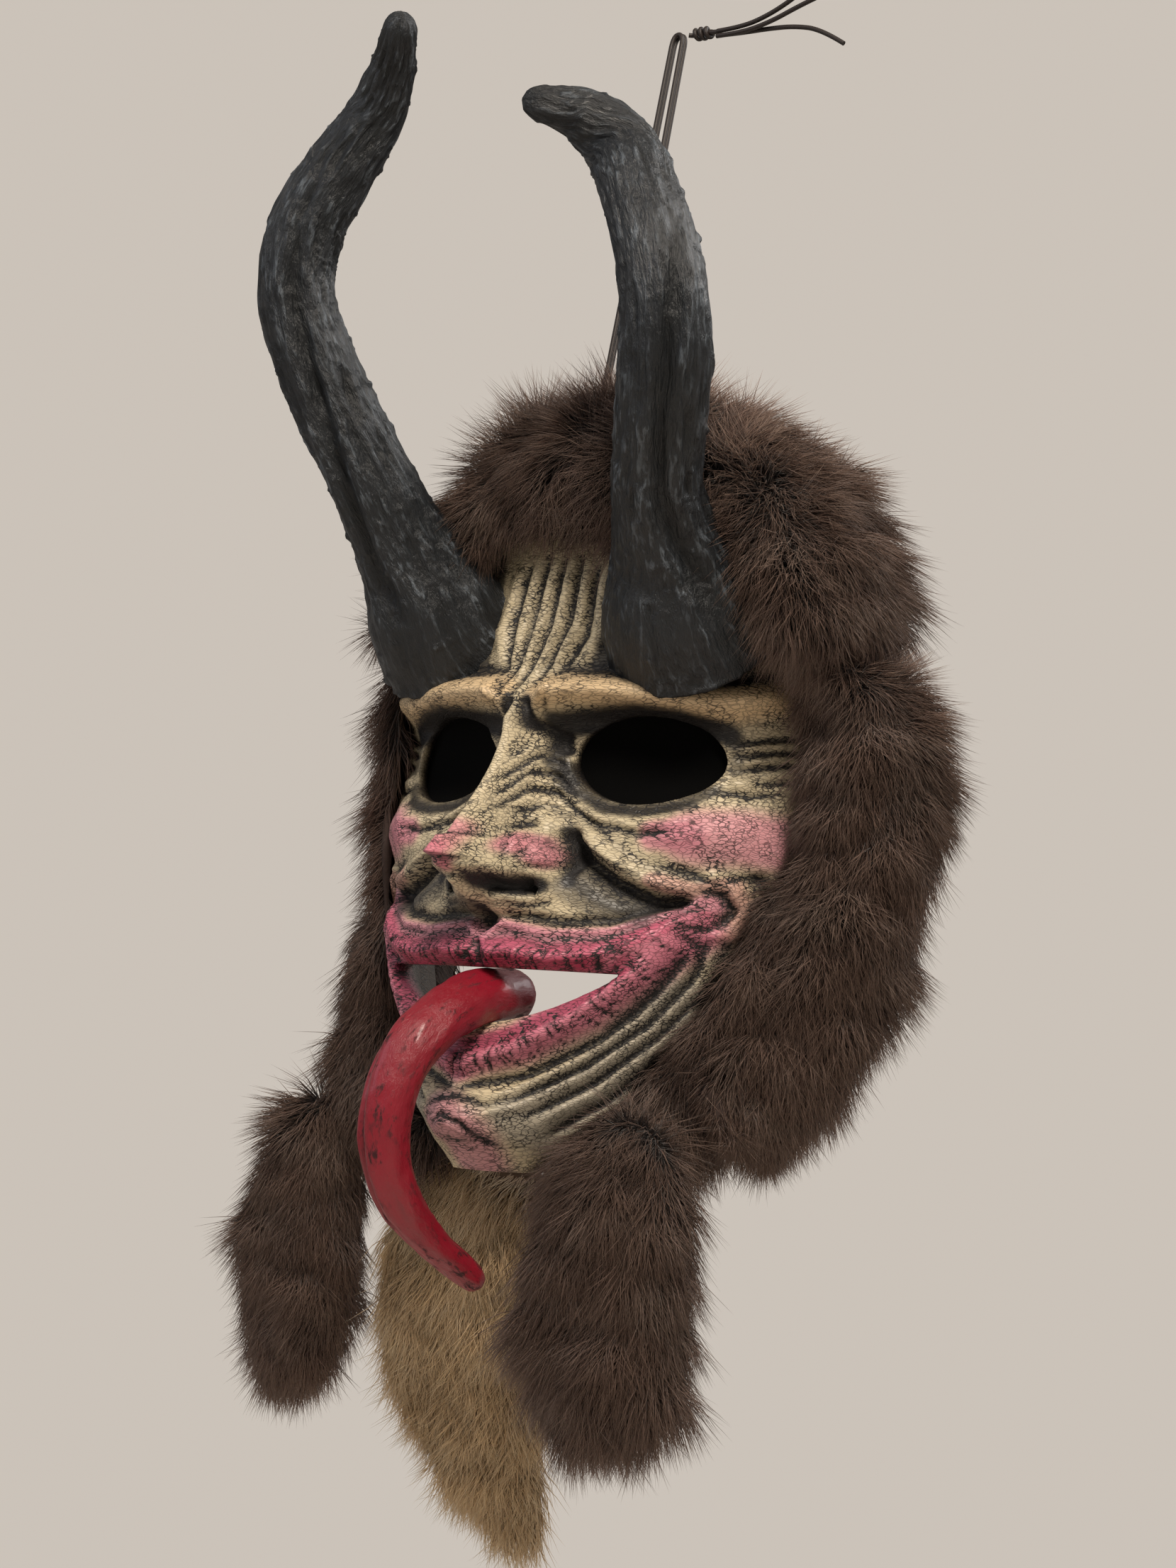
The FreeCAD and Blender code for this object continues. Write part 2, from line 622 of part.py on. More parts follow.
def build():
    outer = behind(patch(outer_depth, 0.0))
    inner = behind(patch(inner_depth, SHELL_WALL))
    shell = build_shell(outer, inner)
    nodes = {"face_shell": shell}
    horns_in_fur = []
    for side, name in ((-1, "left"), (1, "right")):
        nodes[name + "_horn"] = build_horn(side, outer)
        horns_in_fur.append(horn_blank(side, FUR_GAP))
        nodes[name + "_eye_screen"] = screen(side)
    nodes["horn_screws"] = Part.makeCompound([screw(horn_seat(-1)), screw(horn_seat(1))])
    nodes["horn_washers"] = Part.makeCompound([washer(horn_seat(-1)), washer(horn_seat(1))])
    nodes["tongue"] = build_tongue(shell)
    nodes["tongue_screw"] = screw(tongue_seat())
    nodes["tongue_washer"] = washer(tongue_seat())

    crown = crown_form().cut(outer).cut(cord_channel())
    for horn in horns_in_fur:
        crown = crown.cut(horn)
    nodes["crown_pelt"] = largest(crown)
    for side, name in ((-1, "left"), (1, "right")):
        cheek = cheek_form(side).cut(outer).cut(nodes["crown_pelt"])
        for horn in horns_in_fur:
            cheek = cheek.cut(horn)
        nodes[name + "_cheek_pelt"] = largest(cheek)
        nodes[name + "_lappet"] = lappet_form(side)
    nodes["beard_pelt"] = beard_form()

    nodes["cord_loop_front"] = cord_loop(-CORD_SPAN_Y)
    nodes["cord_loop_back"] = cord_loop(CORD_SPAN_Y)
    nodes["cord_knot"] = knot()
    nodes["cord_tail_long"] = tail(TAIL_LONG)
    nodes["cord_tail_middle"] = tail(TAIL_MIDDLE)
    nodes["cord_tail_short"] = tail(TAIL_SHORT)
    return nodes


def cord_loop(y):
    over = (NAIL_DIAMETER + CORD_DIAMETER) / 2
    return tube(loop_points(y), CORD_DIAMETER, {1: 3.4, 4: 3.4, 2: over * 0.98, 3: over * 0.98})


if __name__ == "__main__":
    os.makedirs("parts", exist_ok=True)
    for node_name, solid in build().items():
        solid.exportStep(os.path.join("parts", node_name + ".step"))
        print(node_name, round(solid.Volume / 1000.0, 1), "cm3")
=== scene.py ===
"""Looks of a wall-hung folk devil mask: painted cast face, horns, tongue, fur pelts and hanging cord.

Sizes in the classes are millimetres in the part's frame, in which the face looks towards -Y and a depth
is a distance in front of the nail that the cord hangs from. Meshes are made in metres.
"""

import logging
import math
from dataclasses import dataclass
from enum import Enum
from typing import Any, Optional, Sequence

import bmesh
import bpy
import numpy as np
from mathutils import Matrix, Vector, noise

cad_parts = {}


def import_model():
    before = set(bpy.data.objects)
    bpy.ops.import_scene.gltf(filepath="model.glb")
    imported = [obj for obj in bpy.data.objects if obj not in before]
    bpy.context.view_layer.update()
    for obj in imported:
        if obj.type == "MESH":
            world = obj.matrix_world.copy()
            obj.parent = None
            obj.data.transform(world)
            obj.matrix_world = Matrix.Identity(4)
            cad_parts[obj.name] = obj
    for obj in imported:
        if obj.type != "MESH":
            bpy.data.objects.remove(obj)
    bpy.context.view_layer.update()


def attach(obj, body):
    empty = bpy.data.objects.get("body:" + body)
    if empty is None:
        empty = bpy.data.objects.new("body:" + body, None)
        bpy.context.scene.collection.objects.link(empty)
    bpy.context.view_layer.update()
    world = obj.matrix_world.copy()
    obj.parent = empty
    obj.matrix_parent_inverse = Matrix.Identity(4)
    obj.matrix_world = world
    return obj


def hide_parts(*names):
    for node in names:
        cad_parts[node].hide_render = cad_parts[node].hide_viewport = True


LOG = logging.getLogger("devil_mask")
MM = 0.001
Row = tuple[float, ...]


# ---------------------------------------------------------------- small helpers


def colour(code: str) -> tuple[float, float, float, float]:
    """Turns an sRGB hex value into the linear colour that the shaders work in.

    Args:
        code: six hex digits.

    Returns:
        Linear red, green and blue, and an alpha of 1.
    """
    channels = [int(code[i : i + 2], 16) / 255.0 for i in (0, 2, 4)]
    linear = [c / 12.92 if c <= 0.04045 else ((c + 0.055) / 1.055) ** 2.4 for c in channels]
    return linear[0], linear[1], linear[2], 1.0


def add_node(
    tree: bpy.types.NodeTree, kind: str, inputs: Optional[dict[Any, Any]] = None, **settings: Any
) -> bpy.types.Node:
    """Adds one node with its settings, and sets or links its inputs.

    Args:
        tree: the node tree it goes in.
        kind: the node's type.
        inputs: socket name or number to a value, or to another node's output.
        settings: the node's own properties.

    Returns:
        The new node.
    """
    node = tree.nodes.new(kind)
    for name, value in settings.items():
        setattr(node, name, value)
    for name, value in (inputs or {}).items():
        if isinstance(value, bpy.types.NodeSocket):
            tree.links.new(value, node.inputs[name])
        else:
            node.inputs[name].default_value = value
    return node


def bell(distance: np.ndarray, width: float) -> np.ndarray:
    """A smooth hump: 1 in the middle, fading past the width."""
    return np.exp(-((distance / width) ** 2))


def soft_step(value: np.ndarray, low: float, high: float) -> np.ndarray:
    """Eases from 0 at low to 1 at high."""
    t = np.clip((value - low) / (high - low), 0.0, 1.0)
    return t * t * (3.0 - 2.0 * t)


def blurred(grid: np.ndarray, reach: int, passes: int = 2) -> np.ndarray:
    """Averages a grid of numbers over a square neighbourhood, a few times over."""
    for _ in range(passes):
        for axis in (0, 1):
            padding = [(reach, reach) if a == axis else (0, 0) for a in (0, 1)]
            padded = np.pad(grid, padding, mode="edge")
            count = grid.shape[axis]
            total = sum(np.take(padded, range(k, k + count), axis=axis) for k in range(2 * reach + 1))
            grid = total / (2 * reach + 1)
    return grid


def face_outwards(bm: bmesh.types.BMesh) -> None:
    """Turns every face of a closed mesh outwards."""
    bmesh.ops.recalc_face_normals(bm, faces=bm.faces)
    if bm.calc_volume(signed=True) < 0:
        bmesh.ops.reverse_faces(bm, faces=bm.faces)


def mesh_object(
    name: str, bm: bmesh.types.BMesh, materials: Sequence[bpy.types.Material]
) -> bpy.types.Object:
    """Makes a smooth-shaded object of a bmesh and frees it.

    Args:
        name: the object's name.
        bm: the finished bmesh, in the part's frame, in metres.
        materials: the object's materials, in slot order.

    Returns:
        The object, linked to the scene.
    """
    mesh = bpy.data.meshes.new(name)
    bm.to_mesh(mesh)
    bm.free()
    return linked(name, mesh, materials)


def linked(name: str, data: Any, materials: Sequence[bpy.types.Material]) -> bpy.types.Object:
    """Links an object for this mesh or curve, smooth-shaded and with these materials."""
    if isinstance(data, bpy.types.Mesh):
        data.shade_smooth()
    data.materials.clear()
    for material in materials:
        data.materials.append(material)
    piece = bpy.data.objects.new(name, data)
    bpy.context.scene.collection.objects.link(piece)
    return piece


def store(mesh: bpy.types.Mesh, name: str, kind: str, values: np.ndarray) -> None:
    """Stores one value for each vertex.

    Args:
        mesh: the mesh.
        name: the attribute that a material reads.
        kind: FLOAT, FLOAT_VECTOR or FLOAT_COLOR.
        values: one row for each vertex.
    """
    attribute = mesh.attributes.new(name, kind, "POINT")
    key = {"FLOAT": "value", "FLOAT_VECTOR": "vector", "FLOAT_COLOR": "color"}[kind]
    attribute.data.foreach_set(key, np.ascontiguousarray(values, np.float32).ravel())


def settle(piece: bpy.types.Object, body: str, nodes: Sequence[str] = ()) -> bpy.types.Object:
    """Ties a finished piece to its body and hides the CAD nodes that it stands for."""
    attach(piece, body)
    if nodes:
        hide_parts(*nodes)
    LOG.info("%s: %s", piece.name, len(getattr(piece.data, "polygons", ())) or piece.type)
    return piece


def line_reach(x: np.ndarray, t: np.ndarray, points: Sequence[Row]) -> tuple[np.ndarray, np.ndarray]:
    """Distance from each place to a line through points, and how far along the line its nearest point is.

    Args:
        x: places across the face.
        t: places down the face.
        points: (x, t) of the line's points.

    Returns:
        The distance, and the share of the line's length, from 0 to 1.
    """
    lengths = [math.dist(a, b) for a, b in zip(points, points[1:])]
    total = sum(lengths)
    best = np.full(x.shape, 1e9)
    where = np.zeros(x.shape)
    passed = 0.0
    for (ax, at), (bx, bt), length in zip(points, points[1:], lengths):
        share = np.clip(((x - ax) * (bx - ax) + (t - at) * (bt - at)) / length**2, 0.0, 1.0)
        distance = np.hypot(x - ax - share * (bx - ax), t - at - share * (bt - at))
        nearer = distance < best
        best = np.where(nearer, distance, best)
        where = np.where(nearer, (passed + share * length) / total, where)
        passed += length
    return best, where


def eased_path(rows: Sequence[Row], count: int) -> np.ndarray:
    """Points at even steps of a smooth curve through rows of numbers.

    Args:
        rows: the rows that the curve passes through.
        count: how many points are wanted.

    Returns:
        An array with a row for each point.
    """
    given = np.array(rows, float)
    ends = np.vstack([2 * given[0] - given[1], given, 2 * given[-1] - given[-2]])
    fine = []
    for k in range(len(given) - 1):
        a, b, c, d = ends[k : k + 4]
        for s in np.linspace(0.0, 1.0, 24, endpoint=False):
            curve = (2 * b, c - a, 2 * a - 5 * b + 4 * c - d, 3 * b - a - 3 * c + d)
            fine.append(0.5 * sum(term * s**power for power, term in enumerate(curve)))
    fine = np.array([*fine, given[-1]])
    steps = np.concatenate([[0.0], np.cumsum(np.linalg.norm(np.diff(fine[:, :3], axis=0), axis=1))])
    even = np.linspace(0.0, steps[-1], count)
    return np.stack([np.interp(even, steps, fine[:, k]) for k in range(fine.shape[1])], axis=1)


# ---------------------------------------------------------------- finishes


class Slot(Enum):
    """The record's material slots."""

    FACE = "painted_resin"
    HORN = "horn_resin"
    TONGUE = "tongue_lacquer"
    SCREEN = "black_screen"
    STEEL = "zinc_steel"
    BROWN = "brown_fur"
    TAN = "tan_fur"
    CORD = "waxed_cord"


@dataclass(frozen=True)
class Finish:
    """One surface finish: a named material with a Principled shader for its methods to fill in."""

    name: str
    roughness: float = 0.5

    def begin(self) -> tuple[bpy.types.Material, bpy.types.NodeTree, bpy.types.Node]:
        """Returns a new material, its node tree and its shader."""
        material = bpy.data.materials.new(self.name)
        material.use_nodes = True
        shader = material.node_tree.nodes["Principled BSDF"]
        shader.inputs["Roughness"].default_value = self.roughness
        return material, material.node_tree, shader

    def place(self, tree: bpy.types.NodeTree) -> bpy.types.NodeSocket:
        """Place on the object, in metres."""
        return add_node(tree, "ShaderNodeTexCoord").outputs["Object"]

    def stored(self, tree: bpy.types.NodeTree, name: str, output: str = "Fac") -> bpy.types.NodeSocket:
        """Value that the mesh holds under this name."""
        return add_node(tree, "ShaderNodeAttribute", attribute_name=name).outputs[output]

    def stretched(self, tree: bpy.types.NodeTree, where: Any, scale: Row) -> bpy.types.NodeSocket:
        """Places scaled unevenly, so that a pattern runs along one way."""
        return add_node(tree, "ShaderNodeMapping", {"Vector": where, "Scale": scale}).outputs[0]

    def clouds(
        self, tree: bpy.types.NodeTree, where: Any, size_mm: float, detail: float, harsh: float = 0.5
    ) -> bpy.types.NodeSocket:
        """Noise of one grain size.

        Args:
            tree: the material's node tree.
            where: socket with the places it is read at.
            size_mm: size of its largest grains.
            detail: how many finer layers it has.
            harsh: how strong the finer layers are.

        Returns:
            The noise's value.
        """
        inputs = {"Vector": where, "Scale": 1 / (size_mm * MM), "Detail": detail, "Roughness": harsh}
        return add_node(tree, "ShaderNodeTexNoise", inputs).outputs["Fac"]

    def mixed(
        self, tree: bpy.types.NodeTree, share: Any, low: Any, high: Any, blend: str = "MIX"
    ) -> bpy.types.NodeSocket:
        """Mixes two colours and returns the result's socket."""
        inputs = {0: share, 6: low, 7: high}
        return add_node(tree, "ShaderNodeMix", inputs, data_type="RGBA", blend_type=blend).outputs[2]

    def ranged(self, tree: bpy.types.NodeTree, value: Any, low: float, high: float) -> bpy.types.NodeSocket:
        """Eases a value from 0 at low to 1 at high and returns the result's socket."""
        inputs = {"Value": value, "From Min": low, "From Max": high}
        node = add_node(tree, "ShaderNodeMapRange", inputs, interpolation_type="SMOOTHSTEP")
        return node.outputs["Result"]

    def combined(self, tree: bpy.types.NodeTree, how: str, a: Any, b: Any) -> bpy.types.NodeSocket:
        """Joins two values with one step of arithmetic, kept from 0 to 1, and returns its socket."""
        return add_node(tree, "ShaderNodeMath", {0: a, 1: b}, operation=how, use_clamp=True).outputs[0]

    def embossed(self, tree: bpy.types.NodeTree, height: Any, strength: float, relief_mm: float) -> None:
        """Makes the surface stand up with a height."""
        inputs = {"Height": height, "Strength": strength, "Distance": relief_mm * MM}
        bump = add_node(tree, "ShaderNodeBump", inputs)
        tree.links.new(bump.outputs["Normal"], tree.nodes["Principled BSDF"].inputs["Normal"])

    def dulled(self, tree: bpy.types.NodeTree, dark: Any, dullest: float) -> None:
        """Makes the surface rougher where it is dark, up to a dullest roughness."""
        inputs = {"Value": dark, "To Min": self.roughness, "To Max": dullest}
        gloss = add_node(tree, "ShaderNodeMapRange", inputs)
        tree.links.new(gloss.outputs["Result"], tree.nodes["Principled BSDF"].inputs["Roughness"])


@dataclass(frozen=True)
class AntiquedPaint(Finish):
    """Acrylic paint on cast polyester resin, rubbed with black antiquing wax that stays in every wrinkle.

    The eye sees cream and pink skin, satin on the high places, with fine black crackle in between.
    """

    crackle_mm: float = 1.9
    fine_mm: float = 1.5
    worn_mm: float = 9.0
    shaken_mm: float = 4.0
    shake: float = 0.0022
    lying: Row = (0.42, 0.8, 1.6)
    wax: str = "191718"

    def build(self) -> bpy.types.Material:
        """Returns the material."""
        material, tree, shader = self.begin()
        place = self.place(tree)
        # paint colour from the mesh; a few of its bands are painted shade beside and under the nose and under
        # the nasolabial folds
        paint = self.stored(tree, "paint", "Color")
        antique = self.stored(tree, "antique")
        shaken = add_node(
            tree, "ShaderNodeTexNoise", {"Vector": place, "Scale": 1 / (self.shaken_mm * MM), "Detail": 3.0}
        )
        bent = add_node(
            tree,
            "ShaderNodeVectorMath",
            {0: shaken.outputs["Color"], 1: (self.shake,) * 3, 2: place},
            operation="MULTIPLY_ADD",
        ).outputs[0]
        lying = self.stretched(tree, bent, self.lying)
        cells = add_node(
            tree,
            "ShaderNodeTexVoronoi",
            {"Vector": lying, "Scale": 1 / (self.crackle_mm * MM)},
            feature="DISTANCE_TO_EDGE",
        ).outputs["Distance"]
        grit = self.clouds(tree, lying, self.fine_mm, 3.0, 0.6)
        worn = self.clouds(tree, place, self.worn_mm, 4.0)
        line = self.ranged(tree, cells, 0.13, 0.02)
        flecks = self.ranged(tree, grit, 0.56, 0.63)
        patches = self.ranged(tree, worn, 0.42, 0.62)
        cracked = self.combined(tree, "MULTIPLY", line, self.combined(tree, "MULTIPLY_ADD", patches, 0.45))
        speckled = self.combined(tree, "MULTIPLY", flecks, patches)
        dirt = self.combined(tree, "ADD", cracked, speckled)
        spread = self.combined(tree, "MULTIPLY", antique, self.combined(tree, "ADD", grit, 0.42))
        dark = self.combined(tree, "ADD", self.combined(tree, "MULTIPLY", dirt, 0.84), spread)
        faded = self.combined(tree, "MULTIPLY", worn, 0.12)
        mottled = self.mixed(tree, faded, paint, colour("9A8F7E"), "MULTIPLY")
        tree.links.new(self.mixed(tree, dark, mottled, colour(self.wax)), shader.inputs["Base Color"])
        self.dulled(tree, dark, 0.62)
        self.embossed(tree, self.combined(tree, "SUBTRACT", 1.0, dirt), 0.55, 0.45)
        return material


@dataclass(frozen=True)
class DryBrushed(Finish):
    """Cast resin painted charcoal, then dry-brushed with slate on its raised grain: bark-like and satin."""

    ground: str = "131518"
    brushed: str = "636B73"
    hollows: str = "0B0C0D"
    haze: str = "31363B"
    grain_mm: float = 2.1
    patch_mm: float = 16.0
    along_limb: Row = (1.0, 1.0, 0.24)

    def build(self) -> bpy.types.Material:
        """Returns the material."""
        material, tree, shader = self.begin()
        grain = self.stored(tree, "grain", "Vector")
        raised = self.stored(tree, "raised")
        fibres = self.clouds(tree, self.stretched(tree, grain, self.along_limb), self.grain_mm, 5.0, 0.62)
        patches = self.clouds(tree, grain, self.patch_mm, 3.0)
        high = self.ranged(tree, raised, 0.25, 0.85)
        brush = self.combined(tree, "MULTIPLY", self.ranged(tree, fibres, 0.50, 0.66), high)
        brush = self.combined(tree, "MULTIPLY", brush, self.ranged(tree, patches, 0.22, 0.70))
        low = self.mixed(tree, self.ranged(tree, raised, 0.0, 0.7), colour(self.hollows), colour(self.ground))
        soft = self.mixed(tree, self.combined(tree, "MULTIPLY", patches, 0.55), low, colour(self.haze))
        tree.links.new(self.mixed(tree, brush, soft, colour(self.brushed)), shader.inputs["Base Color"])
        self.embossed(tree, fibres, 1.0, 2.0)
        return material


@dataclass(frozen=True)
class Lacquer(Finish):
    """Crimson paint under gloss varnish, with black wax left in the folds and painted shade on the root end:
    deep red with sharp highlights.
    """

    red: str = "7C0D1F"
    rosy: str = "981A2E"
    # colour of the black wax in the folds, and of the painted shade on the sunken root end
    folds: str = "18050A"
    streak_mm: float = 2.6
    stain_mm: float = 9.0
    along_limb: Row = (1.0, 1.0, 0.45)

    def build(self) -> bpy.types.Material:
        """Returns the material."""
        material, tree, shader = self.begin()
        drawn = self.stretched(tree, self.stored(tree, "grain", "Vector"), self.along_limb)
        streaks = self.clouds(tree, drawn, self.streak_mm, 6.0, 0.7)
        stains = self.clouds(tree, drawn, self.stain_mm, 4.0)
        worn = self.ranged(tree, streaks, 0.50, 0.64)
        dirt = self.combined(tree, "MULTIPLY", worn, self.ranged(tree, stains, 0.40, 0.60))
        # Darkens low places: black wax in the furrows, and painted shade on the tongue's sunken root end.
        fold_wax_and_root_shade = self.ranged(tree, self.stored(tree, "raised"), 0.50, 0.05)
        dark = self.combined(tree, "ADD", self.combined(tree, "MULTIPLY", dirt, 0.9), fold_wax_and_root_shade)
        blush = self.combined(tree, "MULTIPLY", stains, 0.8)
        skin = self.mixed(tree, blush, colour(self.red), colour(self.rosy))
        tree.links.new(self.mixed(tree, dark, skin, colour(self.folds)), shader.inputs["Base Color"])
        clean = self.combined(tree, "SUBTRACT", 1.0, dark)
        tree.links.new(self.combined(tree, "MULTIPLY", clean, 0.22), shader.inputs["Coat Weight"])
        shader.inputs["Coat Roughness"].default_value = 0.14
        self.dulled(tree, dark, 0.85)
        self.embossed(tree, streaks, 0.7, 1.0)
        return material


@dataclass(frozen=True)
class RabbitHair(Finish):
    """Dressed rabbit hair: darker woolly roots, softly shiny guard hairs with paler tips and streaks."""

    root: str = "2A1E19"
    shaft: str = "59443A"
    tip: str = "9A8172"
    streak: str = "A59488"
    streaked: float = 0.5
    tuft_mm: float = 26.0

    def build(self) -> bpy.types.Material:
        """Returns the material."""
        material, tree, shader = self.begin()
        along = self.stored(tree, "along")
        tone = self.stored(tree, "tone")
        tufts = self.clouds(tree, self.place(tree), self.tuft_mm, 3.0)
        body = self.mixed(tree, self.ranged(tree, along, 0.0, 0.55), colour(self.root), colour(self.shaft))
        paler = self.combined(tree, "MULTIPLY", self.ranged(tree, along, 0.45, 1.0), tone)
        tipped = self.mixed(tree, paler, body, colour(self.tip))
        toned = self.combined(tree, "MULTIPLY", tone, along)
        pale = self.combined(tree, "MULTIPLY", self.ranged(tree, tufts, 0.48, 0.66), toned)
        pale = self.combined(tree, "MULTIPLY", pale, self.streaked)
        tree.links.new(self.mixed(tree, pale, tipped, colour(self.streak)), shader.inputs["Base Color"])
        shader.inputs["Sheen Weight"].default_value = 0.12
        shader.inputs["Specular IOR Level"].default_value = 0.35
        return material


@dataclass(frozen=True)
class Hide(Finish):
    """Tanned rabbit skin: dark felted underfur outside, pale suede on the flesh side towards the wall."""

    felt: str = "2A1E1A"
    felt_high: str = "3B2C26"
    suede: str = "B9A58C"
    suede_stain: str = "8E7961"
    nap_mm: float = 1.6
    stain_mm: float = 22.0

    def build(self) -> bpy.types.Material:
        """Returns the material."""
        material, tree, shader = self.begin()
        place = self.place(tree)
        nap = self.clouds(tree, place, self.nap_mm, 5.0)
        stain = self.ranged(tree, self.clouds(tree, place, self.stain_mm, 3.0), 0.35, 0.70)
        skin = self.mixed(tree, stain, colour(self.suede), colour(self.suede_stain))
        felt = self.mixed(tree, nap, colour(self.felt), colour(self.felt_high))
        flesh = self.stored(tree, "flesh")
        tree.links.new(self.mixed(tree, flesh, felt, skin), shader.inputs["Base Color"])
        self.embossed(tree, nap, 0.5, 0.5)
        return material


@dataclass(frozen=True)
class PlainStuff(Finish):
    """Waxed cord, black cloth, zinc-plated steel or the floor: one colour with a fine, even tooth."""

    low: str = "808080"
    high: str = "909090"
    tooth_mm: float = 1.0
    relief_mm: float = 0.1
    metallic: float = 0.0
    shine: float = 0.5

    def build(self) -> bpy.types.Material:
        """Returns the material."""
        material, tree, shader = self.begin()
        tooth = self.clouds(tree, self.place(tree), self.tooth_mm, 4.0)
        base = self.mixed(tree, tooth, colour(self.low), colour(self.high))
        tree.links.new(base, shader.inputs["Base Color"])
        shader.inputs["Metallic"].default_value = self.metallic
        shader.inputs["Specular IOR Level"].default_value = self.shine
        self.embossed(tree, tooth, 0.5, self.relief_mm)
        return material


# ---------------------------------------------------------------- studio


@dataclass
class Studio:
    """Camera, soft lights, pale surroundings and floor."""

    eye: Vector = Vector((0.7192, -1.0616, -0.4221))
    target: Vector = Vector((-0.0242, 0.0, -0.3201))
    roll_deg: float = 3.5
    upright_view_deg: float = 28.76
    floor_z: float = -1.05

    def camera(self) -> None:
        """Makes the camera."""
        data = bpy.data.cameras.new("camera")
        data.sensor_fit = "VERTICAL"
        data.sensor_height = 36.0
        data.lens = data.sensor_height / 2.0 / math.tan(math.radians(self.upright_view_deg) / 2.0)
        camera = bpy.data.objects.new("camera", data)
        bpy.context.scene.collection.objects.link(camera)
        camera.location = self.eye
        turn = (self.target - self.eye).to_track_quat("-Z", "Y").to_matrix()
        spin = Matrix.Rotation(math.radians(self.roll_deg), 3, "Z")
        camera.rotation_euler = (turn @ spin).to_euler()
        bpy.context.scene.camera = camera

    def lamp(self, name: str, place: Row, size: float, watts: float, tint: str) -> None:
        """Adds a soft square lamp that shines at the mask.

        Args:
            name: the lamp's name.
            place: where it stands, in metres.
            size: its side, in metres.
            watts: its power.
            tint: the colour of its light.
        """
        data = bpy.data.lights.new(name, "AREA")
        data.size = size
        data.energy = watts
        data.color = colour(tint)[:3]
        lamp = bpy.data.objects.new(name, data)
        bpy.context.scene.collection.objects.link(lamp)
        lamp.location = place
        lamp.rotation_euler = (Vector((0, -0.05, -0.3)) - Vector(place)).to_track_quat("-Z", "Y").to_euler()

    def build(self, floor_paint: bpy.types.Material) -> None:
        """Makes the lights, the surroundings and the floor."""
        self.lamp("key_lamp", (1.0, -1.1, 1.2), 0.6, 44.0, "FFF3E4")
        self.lamp("fill_lamp", (-1.5, -1.6, 0.7), 1.2, 9.0, "EAF1FF")
        self.lamp("rim_lamp", (0.9, 1.1, 0.9), 0.8, 16.0, "FFFFFF")
        world = bpy.data.worlds.new("surroundings")
        world.use_nodes = True
        tree = world.node_tree
        seen = add_node(tree, "ShaderNodeLightPath").outputs["Is Camera Ray"]
        strength = add_node(tree, "ShaderNodeMapRange", {"Value": seen, "To Min": 0.42, "To Max": 0.92})
        tree.nodes["Background"].inputs["Color"].default_value = colour("D3CAC0")
        tree.links.new(strength.outputs["Result"], tree.nodes["Background"].inputs["Strength"])
        bpy.context.scene.world = world
        bpy.context.scene.view_settings.view_transform = "Standard"
        bm = bmesh.new()
        bmesh.ops.create_grid(bm, x_segments=8, y_segments=8, size=1.25)
        bmesh.ops.translate(bm, verts=bm.verts, vec=(0, 0, self.floor_z))
        mesh_object("floor", bm, [floor_paint])


# ---------------------------------------------------------------- face


@dataclass(frozen=True)
class Fold:
    """A ridge, or with a negative height a groove, along a line of (across, down) points of the face."""

    points: tuple[Row, ...]
    width: float
    height: float
    both_sides: bool = True
    fade: float = 0.22
    wax: float = 0.0


@dataclass(frozen=True)
class Tint:
    """A band of colour along a line of the face: paint, or in a few bands painted shade."""

    points: tuple[Row, ...]
    width: float
    shade: str
    strength: float = 1.0
    both_sides: bool = True


